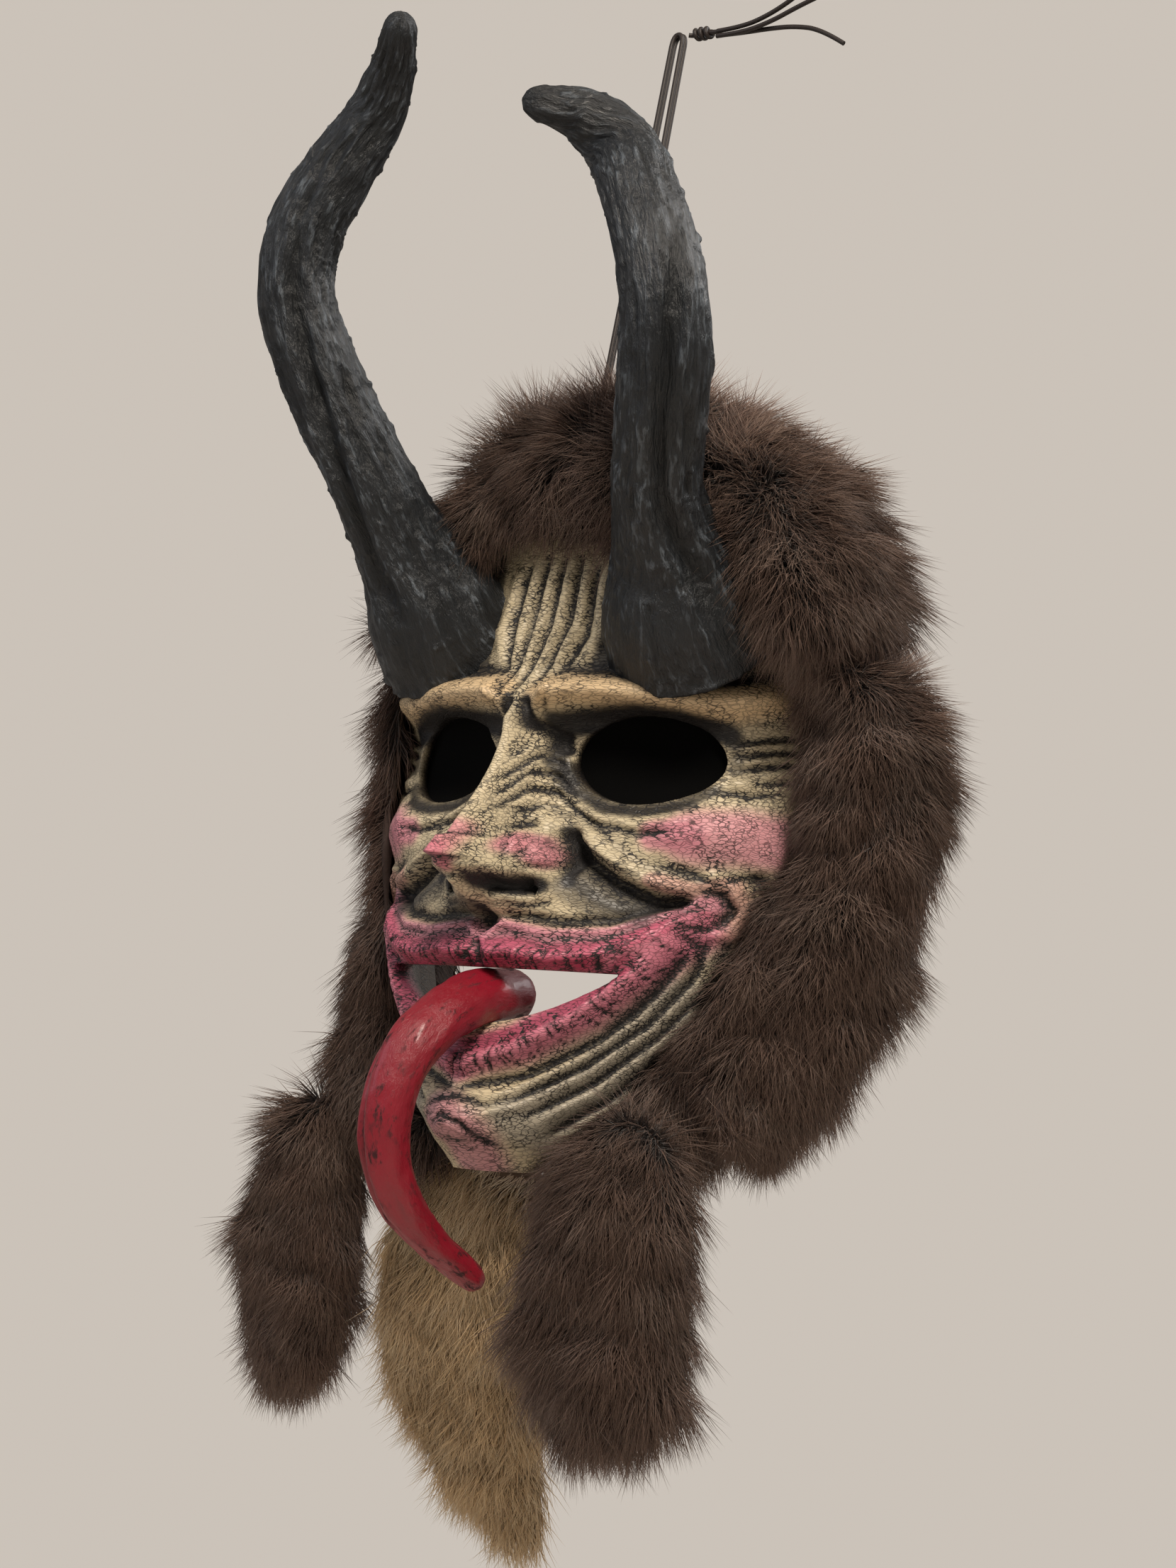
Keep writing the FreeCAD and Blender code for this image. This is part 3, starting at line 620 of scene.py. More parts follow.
@dataclass
class FaceShell:
    """The cast face: the CAD shell's form on a fine sheet, with its wrinkles, lips, paint and a few bands of
    painted shade.
    """

    paint: bpy.types.Material
    drop: float = 187.0
    height: float = 294.0
    width: float = 198.0
    wall: float = 5.0
    rim_depth: float = 12.0
    chin_rim_depth: float = 66.0
    nose_length: float = 44.0
    brow_relief: float = 7.0
    lip_relief: float = 7.0
    chin_relief: float = 13.0
    eye_spacing: float = 96.0
    eye_size: Row = (57.0, 36.0)
    mouth_width: float = 112.0
    mouth_gap: float = 22.0
    smile_width: float = 166.0
    smile_lift: float = 52.0
    upper_lip_lift: float = 19.0
    columns: int = 172
    rows: int = 252
    profile: tuple[Row, ...] = (
        (0.0, 54.0), (0.20, 65.0), (0.345, 77.0), (0.45, 76.0), (0.56, 84.0),
        (0.64, 95.0), (0.731, 98.0), (0.833, 101.0), (0.93, 108.0), (1.0, 94.0),
    )
    edge: tuple[Row, ...] = (
        (0.0, 24.0), (0.20, 24.0), (0.345, 28.0), (0.50, 33.0), (0.66, 42.0), (0.78, 55.0), (0.93, 76.0),
        (1.0, 88.0),
    )
    outline: tuple[Row, ...] = (
        (0.0, 0.44), (0.05, 0.62), (0.10, 0.75), (0.20, 0.90), (0.345, 0.98), (0.50, 1.0), (0.58, 0.97),
        (0.66, 0.87), (0.775, 0.70), (0.85, 0.58), (0.925, 0.43), (0.97, 0.28), (1.0, 0.15),
    )
    folds: tuple[Fold, ...] = (
        # upright wrinkles between the horns
        Fold(((-19, 48), (-23, 78), (-17, 96)), 3.0, 2.6, False),
        Fold(((-10, 46), (-12, 74), (-11, 98)), 2.8, 3.0, False),
        Fold(((-2, 45), (-3, 76), (-6, 100), (-4, 118)), 2.6, 3.2, False),
        Fold(((6, 46), (6, 76), (1, 98), (-1, 116)), 2.6, 3.2, False),
        Fold(((14, 48), (15, 76), (8, 95)), 2.8, 3.0, False),
        Fold(((22, 52), (25, 82), (19, 95)), 3.0, 2.4, False),
        Fold(((-15, 50), (-17, 76), (-14, 95)), 1.6, -1.8, False, wax=0.7),
        Fold(((-6, 46), (-7, 76), (-9, 99)), 1.6, -2.2, False, wax=0.8),
        Fold(((2, 46), (2, 76), (-3, 102)), 1.5, -2.2, False, wax=0.8),
        Fold(((10, 47), (11, 76), (5, 98)), 1.6, -2.2, False, wax=0.8),
        Fold(((18, 50), (20, 80), (13, 95)), 1.6, -1.8, False, wax=0.7),
        # brow: thick roll that ends in a frown
        Fold(((10, 105), (22, 103), (42, 105), (58, 107), (74, 108), (88, 105),
              (98, 101)), 6.2, 7.5, fade=0.08),
        Fold(((10, 104), (14, 107)), 6.5, 4.5),
        Fold(((2, 106), (5, 116), (13, 121)), 2.6, -5.0, wax=1.0),
        Fold(((18, 117), (34, 115), (56, 115), (74, 117)), 4.0, -5.0, wax=0.85),
        Fold(((14, 119), (15, 130)), 4.5, -4.5, wax=0.75),
        Fold(((12, 94), (34, 95), (58, 97), (78, 97), (92, 92)), 2.6, -3.0, wax=0.85),
        Fold(((30, 95.5), (50, 98), (70, 98.5), (84, 95)), 0.9, -1.2, wax=0.8),
        # forehead swells up to the horns
        Fold(((60, 76), (60, 84)), 21.0, 9.0, fade=0.01),
        # crow's feet and the bead at the outer end of the lower lid
        Fold(((78, 122), (90, 119), (104, 117)), 1.3, -2.4, wax=0.95),
        Fold(((80, 126.5), (92, 124), (104, 123)), 1.3, -2.4, wax=0.95),
        Fold(((82, 131.5), (94, 129), (104, 129)), 1.3, -2.4, wax=0.95),
        Fold(((88, 137), (96, 135.5), (104, 136)), 1.2, -2.0, wax=0.9),
        Fold(((79, 124), (91, 121.5), (104, 120)), 1.3, 1.3),
        Fold(((81, 129), (93, 126.5), (104, 126)), 1.3, 1.3),
        Fold(((79, 137), (87, 138)), 2.4, 2.6),
        Fold(((76, 141), (86, 142.5), (94, 140)), 1.1, -1.6, wax=0.8),
        # folds from the bridge of the nose round the inner corner of the eye
        Fold(((4, 137), (9, 127), (15, 129), (22, 138)), 2.2, 2.6),
        Fold(((5, 143), (10, 133), (17, 135), (25, 145)), 1.9, 2.4),
        Fold(((6, 149), (9, 140), (17, 141), (27, 150), (40, 157)), 1.9, 2.4),
        Fold(((7, 154), (12, 147), (20, 148), (32, 157), (44, 165)), 1.9, 2.2),
        Fold(((4, 140), (9, 130), (16, 132), (23, 141)), 1.0, -2.2, wax=0.9),
        Fold(((5, 146), (9, 136.5), (17, 138), (26, 147)), 1.0, -2.2, wax=0.9),
        Fold(((6, 152), (10, 143.5), (18, 144.5), (29, 153), (42, 161)), 1.0, -2.2, wax=0.9),
        # under the eye
        Fold(((22, 143), (34, 152), (52, 156), (70, 154), (82, 147)), 2.6, 1.6),
        Fold(((24, 149), (36, 156), (54, 160), (66, 158)), 1.3, -1.4, wax=0.6),
        # nasolabial fold, and the deep furrow under it
        Fold(((8, 157), (15, 154), (26, 159), (41, 168), (57, 177), (70, 181),
              (80, 180)), 3.6, 5.0, fade=0.14),
        Fold(((24, 160), (34, 170), (47, 180), (60, 186), (74, 186)), 4.0, -6.5, fade=0.12, wax=0.9),
        Fold(((16, 162), (30, 170), (44, 178), (58, 184)), 1.2, -1.6, wax=0.6),
        Fold(((30, 163), (45, 172), (60, 178)), 1.1, -1.5, wax=0.8),
        # cheekbone
        Fold(((60, 160), (78, 158), (96, 160)), 9.0, 4.5, fade=0.3),
        Fold(((64, 172), (80, 177), (98, 172)), 2.2, -1.6, wax=0.35),
        # nose: tip, wings, septum
        Fold(((0, 112), (0, 140), (0, 166)), 3.8, 4.5, False, fade=0.2),
        Fold(((0, 165), (0, 173)), 6.2, 8.5, False, fade=0.02),
        Fold(((6, 176), (6, 178)), 4.0, 2.0, True, fade=0.02),
        Fold(((11, 150), (14, 160)), 4.0, -3.6, fade=0.1, wax=0.2),
        Fold(((14, 166), (20, 164), (24, 168), (24, 174)), 5.2, 7.5, fade=0.06),
        Fold(((27, 158), (31, 167), (30, 178)), 3.0, -5.0, wax=1.0),
        Fold(((0, 181), (1, 190)), 3.0, 4.5, False, fade=0.05),
        Fold(((8, 182), (15, 183), (21, 182)), 3.4, -13.0, fade=0.03, wax=1.0),
        Fold(((10, 189), (20, 190), (26, 188)), 1.4, -1.6, wax=0.6),
        # philtrum
        Fold(((1, 190), (1, 200)), 2.4, -3.0, False, wax=0.7),
        Fold(((-5, 190), (-6, 199)), 2.2, 2.2, False),
        Fold(((8, 190), (8, 197)), 2.2, 2.2, False),
        # upper lip: outline and body
        Fold(((1, 203), (9, 197), (28, 200), (50, 198), (66, 190), (77, 184)), 1.6, 3.0, fade=0.08),
        Fold(((2, 210), (16, 209), (32, 211), (52, 208), (66, 199), (76, 190)), 4.4, 5.0, fade=0.1),
        Fold(((-2, 204), (1, 208), (2, 214)), 1.5, -3.0, False, wax=0.9),
        Fold(((12, 193), (30, 196), (50, 194), (64, 186), (74, 181)), 2.0, -2.2, wax=0.6),
        # hooked ridge round the corner of the mouth
        Fold(((76, 174), (85, 178), (88, 187), (84, 196), (78, 199)), 2.6, 4.2, fade=0.12),
        Fold(((74, 180), (81, 182), (83, 188), (79, 194)), 1.5, -3.2, wax=1.0),
        Fold(((88, 172), (93, 181), (91, 192)), 2.2, -2.6, wax=0.7),
        # lower lip
        Fold(((0, 254), (22, 247), (42, 234), (60, 215), (73, 199)), 4.2, 6.0, fade=0.06),
        Fold(((0, 263), (25, 256), (46, 241), (63, 221), (75, 202)), 1.6, -2.6, fade=0.1, wax=0.8),
        # draped ridges from the chin to the corner of the mouth
        Fold(((77, 199), (71, 213), (58, 232), (42, 248), (22, 262), (10, 267)), 1.9, 2.8, fade=0.1),
        Fold(((80, 199), (74, 216), (60, 236), (43, 254), (24, 268), (12, 272)), 1.9, 2.8, fade=0.1),
        Fold(((83, 201), (76, 220), (62, 241), (46, 260), (28, 275)), 1.9, 2.8, fade=0.1),
        Fold(((87, 203), (79, 223), (64, 246), (48, 267), (30, 283)), 1.9, 2.6, fade=0.1),
        Fold(((78, 199), (72, 214.5), (59, 234), (42.5, 251), (23, 265)), 1.1, -2.4, fade=0.1, wax=0.95),
        Fold(((82, 200), (75, 218), (61, 238.5), (44.5, 257), (26, 271.5)), 1.1, -2.4, fade=0.1, wax=0.95),
        Fold(((85, 202), (78, 221), (63, 243.5), (47, 263.5), (29, 279)), 1.1, -2.4, fade=0.1, wax=0.95),
        # chin knob with a curled groove
        Fold(((2, 272), (3, 282)), 11.0, 4.0, False),
        Fold(((-6, 276), (0, 273), (7, 275), (10, 280), (15, 284)), 1.2, -2.6, False, wax=0.95),
        Fold(((-10, 268), (2, 265), (14, 268)), 1.6, -2.2, False, wax=0.7),
    )
    tints: tuple[Tint, ...] = (
        Tint(((32, 236), (54, 216), (74, 196)), 14.0, "B9B0A2", 0.55),
        Tint(((26, 274), (48, 256), (70, 226)), 12.0, "AFA89B", 0.75),
        Tint(((60, 74), (60, 84)), 31.0, "232427", 1.0),
        Tint(((29, 92), (31, 74), (33, 48)), 4.0, "2C2A29", 0.85),
        Tint(((10, 104), (24, 102), (44, 104), (60, 107), (76, 108), (98, 101)), 8.0, "E3C79E", 1.0),
        Tint(((74, 160), (86, 159), (102, 161)), 12.0, "E2A3AA", 1.0),
        Tint(((60, 160), (72, 160)), 6.5, "D98C9C", 0.9),
        Tint(((0, 164), (0, 172)), 6.5, "DC9A9C", 1.0, False),
        Tint(((0, 171), (0, 175)), 4.5, "D97F90", 0.9, False),
        Tint(((15, 166), (21, 167), (24, 171)), 5.0, "DB949C", 1.0),
        Tint(((62, 178), (74, 181), (84, 178), (87, 187), (83, 196)), 4.0, "D8A59A", 0.8),
        Tint(((-14, 202), (-6, 200), (1, 206), (9, 200), (30, 203), (52, 201), (68, 192),
              (78, 186)), 4.8, "E29AA8", 1.0),
        Tint(((0, 212), (14, 211.5), (32, 213.5), (53, 210), (66, 201), (75, 192)), 4.6, "B8415F", 1.0),
        Tint(((0, 251), (22, 244), (42, 230), (60, 211), (74, 196)), 9.0, "D57F93", 1.0),
        Tint(((0, 247), (22, 240), (42, 227), (58, 210)), 3.4, "BC5570", 0.9),
        Tint(((-2, 274), (5, 279), (4, 288)), 12.0, "D3989F", 0.95, False),
        # painted shade under the overhanging nasolabial fold
        Tint(((34, 178), (48, 186), (60, 189)), 5.5, "26272A", 0.75),
        Tint(((27, 160), (31, 170), (31, 180)), 3.0, "1B1B1D", 0.95),
        Tint(((15, 117), (34, 114.5), (48, 113), (62, 114.5), (76, 118)), 5.5, "131212", 1.0),
        Tint(((13, 116), (15, 132), (20, 140)), 4.2, "1D1C1B", 0.9),
        Tint(((19, 134), (26, 143), (38, 149.5), (50, 150.5), (64, 148), (74, 141)), 3.2, "211E1C", 0.85),
        Tint(((0, 207), (16, 205.5), (32, 207.5), (52, 205), (67, 196)), 3.4, "CC6680", 1.0),
        Tint(((78, 120), (80, 132)), 2.8, "232120", 0.6),
        Tint(((22, 143), (36, 150), (54, 151), (70, 147)), 2.0, "1F1D1C", 0.75),
        Tint(((4, 108), (6, 118)), 2.6, "1B1A19", 0.9),
        # painted shadow of the nose, below it on the side away from the light
        Tint(((-3, 193), (-18, 193)), 6.0, "242321", 0.75, False),
        # painted shade on the nose's far side, away from the light, on one side only
        Tint(((-13, 134), (-13, 152), (-17, 162)), 4.5, "1E1C1B", 0.9, False),
        # painted shade under the overhanging nasolabial fold, paler and wider
        Tint(((30, 182), (44, 190), (58, 192)), 5.0, "34363A", 0.6),
        Tint(((7, 182), (15, 183), (22, 182)), 3.8, "0A0909", 1.0),
        Tint(((102, 178), (94, 190), (88, 204), (76, 226)), 5.0, "242220", 0.85),
        Tint(((100, 140), (104, 120), (100, 100)), 4.0, "3B342D", 0.35),
    )
    skin: str = "DACBAA"
    inside: str = "4A4038"

    def profile_at(self, rows: tuple[Row, ...], share: np.ndarray, blur: float) -> np.ndarray:
        """Value of a profile at shares of the height, averaged over a short stretch."""
        places, values = zip(*rows)
        offsets = np.linspace(-blur, blur, 9)
        return sum(np.interp(share + offset, places, values) for offset in offsets) / len(offsets)

    def half_width(self, share: np.ndarray) -> np.ndarray:
        """Half the face's width at shares of its height."""
        return 0.5 * self.width * self.profile_at(self.outline, share, 0.02)

    def plain_depth(self, side: np.ndarray, share: np.ndarray) -> np.ndarray:
        """Depth of the face without its features."""
        front = self.profile_at(self.profile, share, 0.035)
        edge = self.profile_at(self.edge, share, 0.035)
        return front - (front - edge) * np.abs(side) ** 2.4

    def relief(
        self, x: np.ndarray, share: np.ndarray, nose: float = 1.0, thinner: float = 0.0, fine: float = 1.0
    ) -> np.ndarray:
        """How far the large features stand off the plain face, as the CAD shell has them."""
        t = self.height * share
        brow_t = self.height * 0.345
        length = self.height * (0.588 - 0.345)
        down = (t - brow_t) / length
        rise = (0.2 + 0.8 * np.clip(down, 0, 1) ** 1.5) * self.nose_length * np.clip(5 * down, 0, 1)
        past = np.clip(1 - (down - 1) * length / (self.height * (0.640 - 0.588) * 1.4), 0, 1) ** 0.8
        rise = np.where(down > 1, rise * past, rise)
        height = nose * rise * bell(x, 9.0 + 7.0 * np.clip(down, 0, 1) ** 2 - thinner)
        height = height + nose * 10.0 * bell(np.abs(x) - 15.0, 8.0) * bell(t - 0.605 * self.height, 10.0)
        line = brow_t + 6.0 * bell(x, 28.0)
        inner = bell(np.clip(np.abs(x) - 85, 0, None), 14.0)
        height = height + fine * self.brow_relief * bell(t - line, 9.0) * inner
        socket = bell(np.abs(x) - 0.5 * self.eye_spacing, 28.0)
        height = height - 8.0 * socket * bell(t - 0.442 * self.height, 19.0)
        height = height + 6.0 * bell(np.abs(x) - 68.0, 24.0) * bell(t - 0.53 * self.height, 16.0)
        beyond = np.clip((np.abs(x) - self.smile_width / 4) / (self.smile_width / 4), 0, 1.2)
        upper = 0.707 * self.height - self.upper_lip_lift * beyond**1.3
        outer = np.clip(np.abs(x) * 2 / self.smile_width, 0, 1.1)
        lower = 0.833 * self.height - self.smile_lift * outer**1.8
        lips = np.clip(bell(t - upper, 8.0) + bell(t - lower, 9.0), 0, 1)
        corner = bell(np.clip(np.abs(x) - 0.36 * self.smile_width, 0, None), 20.0)
        height = height + fine * self.lip_relief * lips * corner
        return height + self.chin_relief * bell(x, 20.0) * bell(t - 0.93 * self.height, 14.0)

    def large_depth(self, x: np.ndarray, t: np.ndarray) -> np.ndarray:
        """Depth of the outside at places of the face, without its wrinkles."""
        share = t / self.height
        side = np.clip(x / self.half_width(share), -1, 1)
        return self.plain_depth(side, share) + self.relief(x, share)

    def fold_height(self, x: np.ndarray, t: np.ndarray) -> tuple[np.ndarray, np.ndarray]:
        """Height of all folds at places of the face, and the wax that lies in them."""
        height = np.zeros(x.shape)
        wax = np.zeros(x.shape)
        for fold in self.folds:
            for sign in (1, -1) if fold.both_sides else (1,):
                distance, share = line_reach(sign * x, t, fold.points)
                ends = np.clip(np.minimum(share, 1 - share) / fold.fade + 0.25, 0, 1)
                mark = bell(distance, fold.width) * ends
                height += fold.height * mark
                wax = np.maximum(wax, fold.wax * bell(distance, fold.width * 1.15) * ends)
        return height, wax

    def cracks(self, x: np.ndarray, t: np.ndarray) -> tuple[np.ndarray, np.ndarray]:
        """Small cuts across the lips: their depth, and the wax that lies in them."""
        depth = np.zeros(x.shape)
        wax = np.zeros(x.shape)
        lips = (
            (((0, 254), (22, 247), (42, 234), (60, 215), (74, 198)), 6.4, 26),
            (((0, 211), (16, 210), (32, 212), (52, 209), (66, 201), (77, 190)), 6.0, 21),
        )
        for points, reach, count in lips:
            distance, share = line_reach(np.abs(x), t, points)
            wander = 0.5 * np.sin(share * 23.0 + 1.0) + 0.3 * np.sin(share * 61.0) + 0.05 * t
            deep = 0.5 + 0.5 * np.sin(share * 97.0 + np.sign(x))
            cut = soft_step(np.cos(2 * np.pi * (share * count + wander)), 0.90 - 0.35 * deep, 1.0)
            mark = cut * soft_step(distance, reach, reach * 0.45)
            depth += 1.3 * mark
            wax = np.maximum(wax, 0.85 * mark)
        return depth, wax

    def detailed_depth(self, x: np.ndarray, t: np.ndarray) -> tuple[np.ndarray, np.ndarray]:
        """Depth of the outside with every wrinkle, and the wax that was laid into them."""
        folds, wax = self.fold_height(x, t)
        cut, cut_wax = self.cracks(x, t)
        places = zip(x.ravel(), t.ravel())
        skin = np.array([noise.noise(Vector((a * 0.22, b * 0.35, 0.0))) for a, b in places])
        skin = skin.reshape(x.shape)
        return self.large_depth(x, t) + folds - cut + 0.5 * skin, np.maximum(wax, cut_wax)

    def inner_depth(self, x: np.ndarray, t: np.ndarray) -> np.ndarray:
        """Depth of the inside: the blunter form set back by the wall."""

        def form(side: np.ndarray, share: np.ndarray) -> np.ndarray:
            blunt = self.relief(side * self.half_width(share), share, 0.72, 3.0, 0.6)
            return self.plain_depth(side, share) + blunt

        share, step = t / self.height, 0.02
        width = self.half_width(share)
        side = np.clip(x / width, -1, 1)
        across = (form(side + step, share) - form(side - step, share)) / (2 * step * width)
        down = (form(side, share + step) - form(side, share - step)) / (2 * step * self.height)
        return form(side, share) - self.wall * np.sqrt(1 + np.minimum(across**2 + down**2, 3.0))

    def hole_edge(self, x: float, t: float) -> Optional[tuple[float, float, float]]:
        """How a place lies to the nearest hole.

        Args:
            x: place across the face.
            t: place down the face.

        Returns:
            A measure below 1 inside the hole, and the point of its edge beside the place, or None far away.
        """
        for sign in (-1, 1):
            a, b = self.eye_size[0] / 2, self.eye_size[1] / 2
            dx, dt = (x - sign * self.eye_spacing / 2) / a, (t - 0.442 * self.height) / b
            r = max(math.hypot(dx, dt), 1e-6)
            if r < 1.4:
                return r, sign * self.eye_spacing / 2 + a * dx / r, 0.442 * self.height + b * dt / r
        half = self.mouth_width / 2
        if abs(x) < half + 3:
            top = 0.731 * self.height
            low = top + self.mouth_gap * (1 - min(abs(x) / half, 1) ** 2)
            middle, reach = (top + low) / 2, max((low - top) / 2, 0.01)
            r = abs(t - middle) / reach
            if abs(t - middle) < reach + 4:
                return (r if abs(x) < half else 9.0), x, (top if t < middle else low)
        return None

    def sheet(self) -> tuple[bmesh.types.BMesh, np.ndarray, np.ndarray]:
        """A flat sheet in the face's outline with its holes, and each vertex's place across and down."""
        bm = bmesh.new()
        bmesh.ops.create_grid(bm, x_segments=self.columns, y_segments=self.rows, size=1.0)
        bm.verts.ensure_lookup_table()
        side = np.array([v.co.x for v in bm.verts])
        share = np.array([(1.0 - v.co.y) / 2.0 for v in bm.verts])
        x, t = side * self.half_width(share), share * self.height
        known = {}
        for v, vx, vt in zip(bm.verts, x, t):
            known[v.index] = self.hole_edge(vx, vt)
        inside = []
        for face in bm.faces:
            values = [known[v.index] for v in face.verts]
            if all(value is not None for value in values) and sum(value[0] for value in values) < 4.0:
                inside.append(face)
        edge_verts = {v for face in inside for v in face.verts}
        bmesh.ops.delete(bm, geom=inside, context="FACES_ONLY")
        for v in list(edge_verts):
            if v.is_valid and v.link_faces and known[v.index] is not None:
                _, x[v.index], t[v.index] = known[v.index]
        source = bm.verts.layers.int.new("source")
        for v in bm.verts:
            v[source] = v.index
        loose = [v for v in bm.verts if not v.link_faces]
        bmesh.ops.delete(bm, geom=loose, context="VERTS")
        return bm, x, t

    def painted(self, x: np.ndarray, t: np.ndarray) -> np.ndarray:
        """Paint colour at each place of the face, with the few tints that are painted shade."""
        shade = np.tile(np.array(colour(self.skin)), (x.size, 1))
        for tint in self.tints:
            for sign in (1, -1) if tint.both_sides else (1,):
                distance, _ = line_reach(sign * x, t, tint.points)
                share = tint.strength * soft_step(distance, tint.width * 1.25, tint.width * 0.55)
                shade += share[:, None] * (np.array(colour(tint.shade)) - shade)
        shade[:, 3] = 1.0
        return shade

    def cavities(self) -> np.ndarray:
        """How far each place of an even grid lies below its surroundings, from 0 to 1."""
        share = np.linspace(0, 1, self.rows * 2)[:, None]
        side = np.linspace(-1, 1, self.columns * 2)[None, :]
        x, t = side * self.half_width(share), np.broadcast_to(share * self.height, (share.size, side.size))
        folds, _ = self.fold_height(x, t)
        cut, _ = self.cracks(x, t)
        form = folds - cut
        near = np.clip((blurred(form, 2) - form) / 0.55, 0, 1)
        wide = np.clip((blurred(form, 7) - form) / 2.4, 0, 1)
        return np.clip(0.75 * near + 0.6 * wide, 0, 1)

    def build(self) -> bpy.types.Object:
        """Returns the finished shell."""
        bm, x, t = self.sheet()
        depth, wax = self.detailed_depth(x, t)
        inner = self.inner_depth(x, t)
        share = t / self.height
        width = self.half_width(share)
        rim = self.rim_depth + (self.chin_rim_depth - self.rim_depth) * np.clip(share * 2 - 1, 0, 1)
        margin = np.minimum(width - np.abs(x), np.minimum(t, self.height - t) * 1.3)
        inner = np.where(margin < self.wall, np.minimum(rim, depth - 3.0), np.maximum(inner, rim))
        inner = np.minimum(inner, depth - 1.5)
        source = bm.verts.layers.int["source"]
        grown = bmesh.ops.extrude_face_region(bm, geom=bm.faces[:], use_keep_orig=True)
        outside = {v for v in grown["geom"] if isinstance(v, bmesh.types.BMVert)}
        for v in bm.verts:
            k = v[source]
            v.co = Vector((x[k], -(depth[k] if v in outside else inner[k]), -self.drop - t[k])) * MM
        face_outwards(bm)
        rows = np.array([v[source] for v in bm.verts])
        front = np.array([v in outside for v in bm.verts])
        grid = self.cavities()
        across = np.clip(((x / width) + 1) / 2 * (grid.shape[1] - 1), 0, grid.shape[1] - 1).astype(int)
        down = np.clip(share * (grid.shape[0] - 1), 0, grid.shape[0] - 1).astype(int)
        antique = np.clip(0.85 * wax + 0.8 * grid[down, across], 0, 1)
        # paint colour, with the painted shade of a few tints
        paint = self.painted(x, t)
        piece = mesh_object("painted_face", bm, [self.paint])
        raw = np.array(colour(self.inside))
        store(piece.data, "paint", "FLOAT_COLOR", np.where(front[:, None], paint[rows], raw))
        store(piece.data, "antique", "FLOAT", np.where(front, antique[rows], 0.15))
        return settle(piece, "root", ["face_shell"])


# ---------------------------------------------------------------- horns and tongue


@dataclass
class Limb:
    """A tapering limb swept along a curve: rows are (x, depth, z, thickness) of its middle line."""

    name: str
    node: str
    rows: tuple[Row, ...]
    stations: int
    spokes: int
    paint: bpy.types.Material
    slot: Slot
    flatness: float = 0.90
    rounded_root: bool = False

    def form(self, turn: np.ndarray, run: np.ndarray, size: np.ndarray) -> np.ndarray:
        """How far the surface stands off the plain oval; each kind of limb has its own."""
        return np.zeros(np.broadcast(turn, run).shape)

    def tangents(self, middle: np.ndarray) -> np.ndarray:
        """Direction of the middle line at each of its points."""
        direction = np.gradient(middle, axis=0)
        return direction / np.linalg.norm(direction, axis=1)[:, None]

    def rings(self) -> tuple[np.ndarray, np.ndarray, np.ndarray]:
        """Places of the rings' points, the same in the straightened limb, and their height off the oval."""
        line = eased_path(self.rows, self.stations)
        middle = np.stack([line[:, 0], -line[:, 1], line[:, 2]], axis=1)
        size = line[:, 3]
        run = np.concatenate([[0], np.cumsum(np.linalg.norm(np.diff(middle, axis=0), axis=1))])
        left = run[-1] - run
        size = size * np.sqrt(np.clip(1 - (1 - np.clip(left / (0.55 * size), 0, 1)) ** 2, 0.0009, 1))
        if self.rounded_root:
            size = size * np.sqrt(np.clip(1 - (1 - np.clip(run / (0.45 * size), 0, 1)) ** 2, 0.0009, 1))
        direction = self.tangents(middle)
        sideways = np.array([1.0, 0, 0]) - direction * direction[:, :1]
        sideways /= np.linalg.norm(sideways, axis=1)[:, None]
        third = np.cross(direction, sideways)
        turn = np.linspace(0, 2 * np.pi, self.spokes, endpoint=False)[None, :]
        stand = self.form(turn, run[:, None], size[:, None])
        wide = 0.5 * size[:, None] + stand
        deep = 0.5 * size[:, None] * self.flatness + stand
        places = (
            middle[:, None, :]
            + sideways[:, None, :] * (wide * np.cos(turn))[:, :, None]
            + third[:, None, :] * (deep * np.sin(turn))[:, :, None]
        )
        straight = np.stack(
            [wide * np.cos(turn), deep * np.sin(turn), np.broadcast_to(run[:, None], wide.shape)], axis=2
        )
        return places * MM, straight * MM, stand

    def build(self) -> bpy.types.Object:
        """Returns the finished limb."""
        places, straight, stand = self.rings()
        bm = bmesh.new()
        spoke = bm.verts.layers.int.new("spoke")
        station = bm.verts.layers.int.new("station")
        ring = bmesh.ops.create_circle(bm, segments=self.spokes, radius=1.0)["verts"]
        for k, v in enumerate(ring):
            v[spoke] = k
        edges = bm.edges[:]
        bmesh.ops.contextual_create(bm, geom=edges)
        for k in range(1, self.stations):
            grown = bmesh.ops.extrude_edge_only(bm, edges=edges)["geom"]
            edges = [e for e in grown if isinstance(e, bmesh.types.BMEdge) and len(e.link_faces) == 1]
            for v in (g for g in grown if isinstance(g, bmesh.types.BMVert)):
                v[station] = k
        bmesh.ops.contextual_create(bm, geom=edges)
        for v in bm.verts:
            v.co = Vector(places[v[station], v[spoke]])
        face_outwards(bm)
        stations = np.array([v[station] for v in bm.verts])
        spokes = np.array([v[spoke] for v in bm.verts])
        piece = mesh_object(self.name, bm, [self.paint])
        low, high = np.percentile(stand, 4), np.percentile(stand, 96)
        raised = np.clip((stand - low) / (high - low), 0, 1)
        store(piece.data, "grain", "FLOAT_VECTOR", straight[stations, spokes])
        store(piece.data, "raised", "FLOAT", raised[stations, spokes])
        return settle(piece, "root", [self.node])


